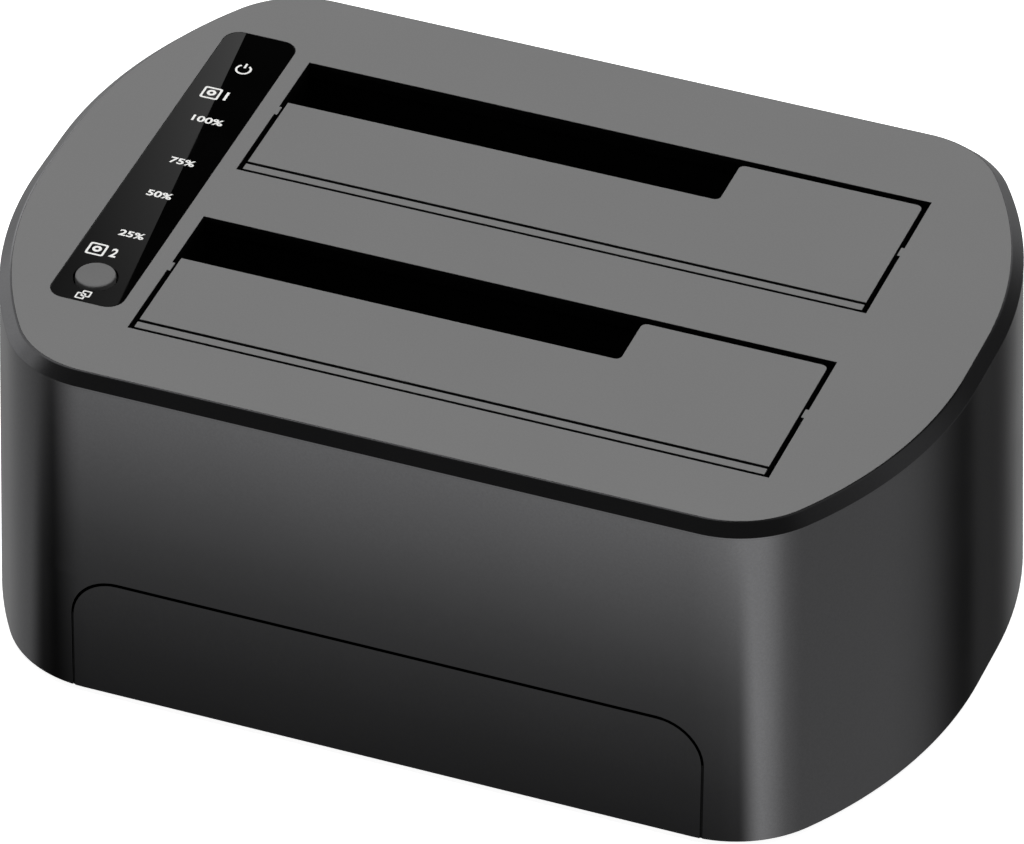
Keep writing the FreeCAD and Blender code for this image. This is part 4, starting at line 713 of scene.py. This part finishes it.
def eased(name, node, finish, slot, ease, trims=()):
    """A CAD node's own solid, its triangles merged into whole faces and its edges
    rounded as a mould leaves them. trims are (y, shift) pairs: upper edges at that
    y are moved, to open a seam."""
    work = bmesh.new()
    work.from_mesh(frame["nodes"][node].data)
    bmesh.ops.remove_doubles(work, verts=work.verts, dist=MELD * MM)
    bmesh.ops.dissolve_limit(work, angle_limit=math.radians(0.5), verts=work.verts,
                             edges=work.edges)
    work.verts.index_update()
    points = np.array([vertex.co for vertex in work.verts]) / MM
    faces = [tuple(vertex.index for vertex in face.verts) for face in work.faces]
    work.free()
    for y, shift in trims:
        edge = (np.abs(points[:, 1] - y) < 0.02) & (points[:, 2] > TOP - EDGE_LOW)
        points[edge, 1] += shift
    return piece(name, points, faces, finish, [node], slot, ease=ease)


# the lids and rails share the face plate's painted shade on their cut edges
for bay, front in zip(("front", "rear"), SLOT_FRONTS):
    eased(bay + "_lid", bay + "_flap", face_grey, "grey_face", 0.06,
          [(front + FLAP_FRONT, 0.2)])
eased("rail_strips", "hinge_rails", face_grey, "grey_face", 0.05, [
    trim for front in SLOT_FRONTS
    for trim in ((front + RAIL_FRONT, 0.2), (front + RAIL_BACK, -0.15))])
# steel drawn through a die: bright, with lines about 0.1 mm apart along the wire
steel, tree, shader, place = start_finish("ground_spring_steel", Metallic=1.0, Roughness=0.3)
drawn = add(tree, "Mapping", [("Vector", place), ("Scale", (200.0, 9000.0, 9000.0))])
lines = add(tree, "TexNoise", [("Vector", drawn), ("Scale", 1.0)])
vary(tree, lines, 0.85, 1.05, shader["Base Color"], "#b4b5b8")
eased("ground_pins", "hinge_pins", steel, "steel", 0.08)

# Flap springs: close-wound torsion springs of 0.34 mm spring wire round the pins.
# One leg lies down the well's front wall and the other under the flap. The bright
# drawn steel shows each turn as a fine line of light.
WIRE, COIL, COIL_LONG, TURNS, LEG_START = 0.17, 0.9, 3.8, 9.25, 0.6
PIVOT_IN, COIL_ROOM = 1.2, 1.08


def wire_round(path, radius, steps=10):
    """Points and faces of a round wire along a path that never runs along X for
    long: each ring lies across the path, at a radius times the cosine and sine of
    even turns, and the ends are closed by fans."""
    run = np.gradient(path, axis=0)
    run /= np.linalg.norm(run, axis=1)[:, None]
    side = np.array([1.0, 0, 0]) - run * run[:, :1]
    side /= np.linalg.norm(side, axis=1)[:, None]
    over = np.cross(run, side)
    turn = np.arange(steps) * 2 * math.pi / steps
    rings = (path[:, None] + radius * (side[:, None] * np.cos(turn)[:, None]
                                       + over[:, None] * np.sin(turn)[:, None]))
    return capped(rings, path[0], path[-1])


for bay, front in zip(("front", "rear"), SLOT_FRONTS):
    low, high = span(bay + "_flap_spring")
    pivot_y, pivot_z = front + PIVOT_IN, high[2] - COIL_ROOM
    turns = np.linspace(0, TURNS, 9 * 24 + 7)
    angle = math.pi - turns * 2 * math.pi
    coil = np.column_stack([low[0] + WIRE + turns / TURNS * (COIL_LONG - 2 * WIRE),
                            pivot_y + COIL * np.cos(angle), pivot_z + COIL * np.sin(angle)])
    down, under = np.repeat(coil[:1], 6, 0), np.repeat(coil[-1:], 6, 0)
    down[:, 2] = np.linspace(low[2], pivot_z - LEG_START, 6)
    under[:, 1] = np.linspace(pivot_y + LEG_START, high[1], 6)
    piece(bay + "_wound_spring", *wire_round(np.concatenate([down, coil, under]), WIRE),
          steel, [bay + "_flap_spring"], "steel")

# Drive wells: two deep pockets moulded in black ABS with a fine matt grain, which
# guide a drive down to its socket; low ribs on the floor carry the drive's end.
for bay in ("front", "rear"):
    eased(bay + "_well", bay + "_bay", bare_black, "black_plastic", 0.12)

# Drive sockets: long keyed connectors in glass-filled black nylon, soldered to the
# main board, with a guide horn at each end and gold-plated spring contacts inside.
nylon_black = black_moulding("black_glass_filled_nylon", "#1c1c1f", 0.25, 0.35, 0.5)
eased("drive_sockets", "sata_sockets", nylon_black, "black_plastic", 0.1)
# thin gold over nickel: warm and bright, and paler where plugs have wiped it
gold, tree, shader, place = start_finish("gold_plated_contacts", Metallic=0.5, Roughness=0.35)
wipe = add(tree, "TexNoise", [("Vector", place), ("Scale", 2500.0)])
add(tree, "Mix", [(0, wipe), (6, linear("#c79a4a")), (7, linear("#ecc777"))],
    to=shader["Base Color"], out=2, data_type="RGBA")
eased("spring_contacts", "sata_contacts", gold, "gold_contact", 0.04)

# Boards: glass-epoxy boards under green solder mask. Copper runs show through the
# half glossy mask as lighter lines about 0.5 mm wide, with tinned pads between.
mask, tree, shader, place = start_finish("green_solder_mask", Roughness=0.35, IOR=1.5)
nearest, second = (
    add(tree, "TexVoronoi", [("Vector", place), ("Scale", 260.0)], out="Distance",
        distance="MANHATTAN", feature=feature) for feature in ("F1", "F2"))
gap = add(tree, "Math", [(0, second), (1, nearest)], operation="SUBTRACT")
copper = add(tree, "ValToRGB", [(0, gap)], stops=[(0.0, 1.0), (0.14, 0.0), (0.10, 1.0)])
green = add(tree, "Mix", [(0, copper), (6, linear("#0e3f25")), (7, linear("#1d6b3c"))], out=2,
            data_type="RGBA")
pad = add(tree, "Math", [(0, nearest), (1, 0.1)], to=shader["Metallic"], operation="LESS_THAN")
add(tree, "Mix", [(0, pad), (6, green), (7, linear("#b9bcc0"))], to=shader["Base Color"],
    out=2, data_type="RGBA")
add(tree, "Bump", [("Height", copper), ("Strength", 0.3), ("Distance", 0.03 * MM)],
    to=shader["Normal"])
eased("main_circuit_board", "main_board", mask, "circuit_board", 0.05)
eased("strip_circuit_board", "indicator_board", mask, "circuit_board", 0.05)

# Parts on the boards: chips in black epoxy, capacitors in aluminium cans, a
# crystal and plated shells in bright metal, headers in white nylon. The epoxy is
# filled with fine silica, so the chips look dull and even.
epoxy = black_moulding("black_epoxy_chip_case", "#1b1b1d", 0.2, 0.5, 0.65)
eased("controller_chips", "bridge_chips", epoxy, "chip", 0.12)
eased("small_chip_cases", "small_chips", epoxy, "chip", 0.1)
eased("switch_under_button", "tact_switch", epoxy, "black_plastic", 0.1)


def plated_metal(name, colour, rough, brush):
    """Bright plated or drawn metal, brushed along X at brush lines a metre, so that
    its reflections are drawn out into fine streaks."""
    material, tree, shader, place = start_finish(name, Metallic=1.0)
    run = add(tree, "Mapping", [("Vector", place), ("Scale", (brush / 30, brush, brush))])
    lines = add(tree, "TexNoise", [("Vector", run), ("Scale", 1.0), ("Detail", 2.0)])
    vary(tree, lines, 0.82, 1.08, shader["Base Color"], colour)
    vary(tree, lines, rough, rough + 0.12, shader["Roughness"])
    return material


can_metal = plated_metal("aluminium_capacitor_can", "#c4c6c9", 0.25, 4000.0)
nickel = plated_metal("nickel_plated_sheet", "#b9babd", 0.2, 5000.0)
eased("capacitor_cans", "capacitors", can_metal, "aluminium_can", 0.25)
eased("crystal_can", "crystal", nickel, "bright_metal", 0.4)


def pale_moulding(name, colour, spread):
    """Smooth moulded plastic: an even, soft shine over the colour, with faint flow
    marks a few millimetres long."""
    material, tree, shader, place = start_finish(name, Roughness=0.35, IOR=1.5)
    flow = add(tree, "TexNoise", [("Vector", place), ("Scale", 400.0), ("Detail", 2.0),
                                  ("Distortion", 1.0)])
    vary(tree, flow, 1 - spread, 1 + spread, shader["Base Color"], colour)
    return material


white_nylon = pale_moulding("white_nylon", "#d9d6cb", 0.05)
eased("upper_header", "board_header_upper", white_nylon, "white_plastic", 0.15)
eased("lower_header", "board_header_lower", white_nylon, "white_plastic", 0.15)

# Lamps and light bar: small lamps in milky epoxy on the upper board, and over them
# a bar moulded in clear acrylic, whose columns carry their light up to the strip.
# The acrylic lets nearly all light through, a little softened by the mould.
eased("lamps", "status_leds", pale_moulding("lamp_lens_epoxy", "#e4e6d6", 0.04), "led", 0.15)
clear, tree, shader, place = start_finish("clear_moulded_acrylic", IOR=1.49, Roughness=0.08,
                                          Transmission_Weight=0.9)
ripple = add(tree, "TexNoise", [("Vector", place), ("Scale", 300.0)])
add(tree, "Mix", [(0, ripple), (6, linear("#e6ebee")), (7, linear("#f5f8fa"))],
    to=shader["Base Color"], out=2, data_type="RGBA")
eased("light_bar", "light_guide", clear, "clear_guide", 0.1)

# Flat cable: ten wires side by side in grey vinyl, from the upper board to the lower
# one. The insulation has a soft shine and a rib for each wire, 0.9 mm apart.
RIB = 0.9
insulation, tree, shader, place = start_finish("grey_ribbon_insulation", Roughness=0.45)
# a band repeats each time that twenty times the scaled length grows by a full turn
ribs = add(tree, "TexWave", [("Vector", place), ("Scale", 2 * math.pi / (20 * RIB * MM))],
           out="Fac", bands_direction="Y")
add(tree, "Mix", [(0, ribs), (6, linear("#7d7f83")), (7, linear("#a7a9ad"))],
    to=shader["Base Color"], out=2, data_type="RGBA")
add(tree, "Bump", [("Height", ribs), ("Distance", 0.2 * MM)], to=shader["Normal"])
eased("flat_cable", "ribbon_cable", insulation, "ribbon", 0.1)

# Rear ports and switch: a square data port with its blue tongue in a plated shell,
# a round power inlet, and a rocker switch whose cap turns in a black nylon frame.
eased("data_port_shell", "usb_port", nickel, "bright_metal", 0.15)
eased("data_port_tongue", "usb_tongue", pale_moulding("blue_pbt_tongue", "#2a59b8", 0.06),
      "blue_plastic", 0.12)
eased("power_inlet", "dc_jack", nylon_black, "black_plastic", 0.15)
eased("power_inlet_pin", "dc_pin", nickel, "bright_metal", 0.2)
eased("switch_frame", "power_switch", nylon_black, "black_plastic", 0.12)
eased("switch_cap", "power_rocker",
      black_moulding("polished_black_nylon_cap", "#0e0e10", 0.5, 0.18, 0.26), "black_plastic", 0.15)

# On and off marks, printed on the two halves of the rocker cap's face. The face is
# worked out lying level, from its middle out to an end, and then turned about the
# pivot to where the cap rests.
CAP_PIVOT, CAP_TURN = (30.0, 51.7, 15.4), math.radians(-7)
CAP_MIDDLE, CAP_END = np.array((0.0, 1.5)), np.array((5.1, 2.0))
for name, way, loops in (("mark_on", 1, [box_loop(2.5, 2.85, -0.95, 0.95)]),
                         ("mark_off", -1, [ring_loop(2.7, 0, 0.95, 32),
                                           ring_loop(2.7, 0, 0.62, 32)])):
    points, faces = sheet_mesh(name, loops, 0.005, 0.025, 0.004)
    run = (CAP_END - CAP_MIDDLE) / np.linalg.norm(CAP_END - CAP_MIDDLE)
    flat = CAP_MIDDLE + points[:, :1] * run + points[:, 2:] * (-run[1], run[0])
    x, y = flat[:, 0] * way, flat[:, 1]
    cos, sin = math.cos(CAP_TURN), math.sin(CAP_TURN)
    placed = np.column_stack([x * cos - y * sin, x * sin + y * cos, points[:, 1]])
    piece(name, placed + CAP_PIVOT, faces, ink, body="power_rocker_body", crease=15)

# Floor plate, feet and screws: the plate is black ABS with a coarse grain and a row
# of vents; four soft rubber feet, dull and hollow below, stand in its seats. Slotted
# steel screws hold it, their zinc blackened outside and bright on the boards.
eased("floor_plate", "base_plate", black_moulding("black_coarse_grained_abs", "#19191b", 0.7,
                                                  0.5, 0.7), "black_plastic", 0.15)
blackened = plated_metal("black_zinc_on_steel", "#2b2b2e", 0.35, 3000.0)
eased("case_fasteners", "case_screws", blackened, "black_steel", 0.12)
eased("board_fasteners", "board_screws", plated_metal("zinc_plated_steel", "#a9abae", 0.3, 3000.0),
      "steel", 0.1)
rubber = black_moulding("black_tpe_rubber", "#141414", 0.5, 0.75, 0.9)
feet_low, feet_high = span("rubber_feet")
FOOT, HOLLOW, HOLLOW_HIGH = 5.0, 3.2, 0.35
foot_profile = [(0, HOLLOW_HIGH), (HOLLOW, HOLLOW_HIGH), (HOLLOW + 0.3, 0.05),
                *eased_corner(FOOT, 0.0, 0.5, -1)[::-1],
                *eased_corner(FOOT, feet_high[2], 0.15), (0, feet_high[2])]
points, faces = [], []
for x in (feet_low[0] + FOOT, feet_high[0] - FOOT):
    for y in (feet_low[1] + FOOT, feet_high[1] - FOOT):
        more, rows = turned(foot_profile, x, y)
        faces += [[index + sum(map(len, points)) for index in row] for row in rows]
        points.append(more)
piece("soft_feet", np.concatenate(points), faces, rubber, ["rubber_feet"], "rubber")

# Table and lamp: a white translucent table, lit softly from below so that it stays
# pale to its edges, and a round soft light overhead. Sizes and places in metres.
TABLE_REACH, LAMP_SIZE, LAMP_WATTS, LAMP_PLACE = 6.0, 1.6, 31.3, (0.0, 0.15, 1.66)
WHITE = (1, 1, 1, 1)
table = bpy.data.meshes.new("table")
table.from_pydata([(x * TABLE_REACH, y * TABLE_REACH, 0)
                   for x, y in ((-1, -1), (1, -1), (1, 1), (-1, 1))], [], [(0, 1, 2, 3)])
table.materials.append(start_finish(
    "white_translucent_table", Roughness=0.9, Base_Color=linear("#e8e8e8"),
    Emission_Color=WHITE, Emission_Strength=0.95)[0])
floor = stand("table", table)
floor.visible_glossy = False
overhead = bpy.data.lights.new("overhead", "AREA")
overhead.shape, overhead.size, overhead.energy = "DISK", LAMP_SIZE, LAMP_WATTS
lamp = stand("overhead", overhead)
lamp.location = LAMP_PLACE
lamp.visible_glossy = False

# Camera: it stands to the right of the front, high and far off with a long lens,
# and leans a fifth of a degree. Its place is in metres.
AZIMUTH, ELEVATION, ROLL = math.radians(21.25), math.radians(37.82), math.radians(0.2)
FOCAL_LENGTH, FILM_GATE, SIGHT = 351.56, 36.0, 20.0
eye = Vector((0.4423, -1.13768, 0.9744))
back = Vector((math.sin(AZIMUTH) * math.cos(ELEVATION), -math.cos(AZIMUTH) * math.cos(ELEVATION),
               math.sin(ELEVATION)))
right = Vector((math.cos(AZIMUTH), math.sin(AZIMUTH), 0))
up = back.cross(right)
level_right = right * math.cos(ROLL) - up * math.sin(ROLL)
level_up = right * math.sin(ROLL) + up * math.cos(ROLL)
lens = bpy.data.cameras.new("camera")
lens.lens, lens.sensor_width, lens.clip_end = FOCAL_LENGTH, FILM_GATE, SIGHT
camera = stand("camera", lens)
camera.matrix_world = Matrix((
    (level_right.x, level_up.x, back.x, eye.x), (level_right.y, level_up.y, back.y, eye.y),
    (level_right.z, level_up.z, back.z, eye.z), (0, 0, 0, 1)))
bpy.context.scene.camera = camera

# Diffusion film: a sheet that stands behind the housing, lit from its far side. Its
# straight edge crosses the strip's mirror image from the rear left corner to the
# button. It is brighter at the rear, with a dim stripe by the edge. Sizes in metres.
FILM_AWAY, FILM_REACH, FADE_WIDE, REAR_LIGHT, FRONT_LIGHT = 0.6, 0.5, 0.04, 0.77, 0.235
STRIPE = [(0.0, 1.0), (1.0, 1.0), (0.36, 0.52), (0.48, 0.55), (0.62, 1.0)]
EDGE_REAR = (window_low[0] + 2.8, window_high[1])
EDGE_FRONT = (window_high[0] - 0.8, window_low[1] + 4.2)
ends = []
for x, y in (EDGE_REAR, EDGE_FRONT):
    point = Vector((x, y, TOP)) * MM
    sight = (point - eye).normalized()
    ends.append(point + Vector((sight.x, sight.y, -sight.z)) * FILM_AWAY)
edge = (ends[1] - ends[0]).normalized()
out = edge.cross(Vector((-back.x, -back.y, back.z))).normalized()
out = -out if out.x > 0 else out
film = bpy.data.meshes.new("diffusion_film")
near, far = ends[0] - edge * FILM_REACH, ends[1] + edge * FILM_REACH
film.from_pydata([near, far, far + out * FILM_REACH, near + out * FILM_REACH], [],
                 [(0, 1, 2, 3)])
glow, tree, shader, place = start_finish(
    "lit_diffusion_film", Roughness=1.0, Base_Color=linear("#000000"),
    Specular_IOR_Level=0.0, Emission_Color=WHITE)
along, across = (add(tree, "VectorMath", [(0, place), (1, way)], out="Value",
                     operation="DOT_PRODUCT") for way in (edge, out))
along = vary(tree, along, REAR_LIGHT, FRONT_LIGHT, below=ends[0].dot(edge),
             above=ends[1].dot(edge))
start = ends[0].dot(out)
across = vary(tree, across, 0.0, 1.0, below=start, above=start + FADE_WIDE)
across = add(tree, "ValToRGB", [(0, across)], stops=STRIPE)
add(tree, "Math", [(0, along), (1, across)], to=shader["Emission Strength"],
    operation="MULTIPLY")
film.materials.append(glow)
reflector = stand("diffusion_film", film)
reflector.visible_camera = reflector.visible_diffuse = reflector.visible_shadow = False

# Surroundings: light and dark panels in four bands of height round the table, which
# the lacquer and the strip mirror. Each band blends into the next at a height given
# as the upward part of the direction to it.
BLEND = 0.05
world = bpy.data.worlds.new("studio")
bpy.context.scene.world = world
world.use_nodes = True
tree = world.node_tree
direction = add(tree, "TexCoord", out="Generated")
axes = add(tree, "SeparateXYZ", [(0, direction)]).node.outputs
forward = add(tree, "Math", [(0, axes["Y"]), (1, -1.0)], operation="MULTIPLY")
bearing = add(tree, "Math", [(0, axes["X"]), (1, forward)], operation="ARCTAN2")
place = add(tree, "MapRange", [(0, bearing), (1, -math.pi), (2, math.pi)])
# the panels' brightness by bearing in degrees from the front, counted to the right
LOW_PANELS = [(-180, 0.215), (180, 0.215), (-145, 0.235), (-117, 0.25), (-84, 0.172),
              (-67, 0.12), (-51, 0.028), (-35, 0.19), (-21, 0.32), (8, 0.37), (23, 0.46),
              (38, 0.47), (45, 0.46), (53, 0.385), (67, 0.205), (82, 0.15), (118, 0.155),
              (128, 0.131), (135, 0.087), (141, 0.044), (148, 0.017), (154, 0.014),
              (159, 0.040), (164, 0.053), (168, 0.093), (173, 0.147)]
MIDDLE_PANELS = [(-180, 0.24), (180, 0.24), (-120, 0.30), (-60, 0.10), (0, 0.36), (60, 0.30),
                 (120, 0.10), (155, 0.20)]
HIGH_PANELS = [(-180, 0.33), (180, 0.33), (-150, 0.36), (-135, 0.52), (-127, 0.53), (-121, 0.43),
               (-115, 0.40), (-105, 0.40), (-84, 0.34), (-57, 0.035), (-28, 0.020), (75, 0.021),
               (97, 0.037), (107, 0.053), (118, 0.076), (126, 0.071), (133, 0.041),
               (141, 0.026), (150, 0.027), (157, 0.065), (163, 0.147), (169, 0.265)]
CEILING_PANELS = [(-180, 0.0), (180, 0.0), (-115, 0.0), (-100, 0.38), (-87, 0.40), (-74, 0.11),
                  (-60, 0.026), (-30, 0.019), (75, 0.019), (95, 0.038), (106, 0.052),
                  (118, 0.077), (127, 0.086), (134, 0.066), (150, 0.010)]
surround = None
for panels, height in ((LOW_PANELS, 0), (MIDDLE_PANELS, -0.40), (HIGH_PANELS, -0.04),
                       (CEILING_PANELS, 0.54)):
    band = add(tree, "ValToRGB", [(0, place)],
               stops=[((turn + 180) / 360, grey) for turn, grey in panels])
    if surround is None:
        surround = band
        continue
    over = add(tree, "MapRange", [(0, axes["Z"]), (1, height - BLEND), (2, height + BLEND)],
               interpolation_type="SMOOTHSTEP")
    surround = add(tree, "Mix", [(0, over), (6, surround), (7, band)], out=2, data_type="RGBA")
tree.links.new(surround, tree.nodes["Background"].inputs["Color"])
bpy.context.scene.view_settings.view_transform = "Standard"
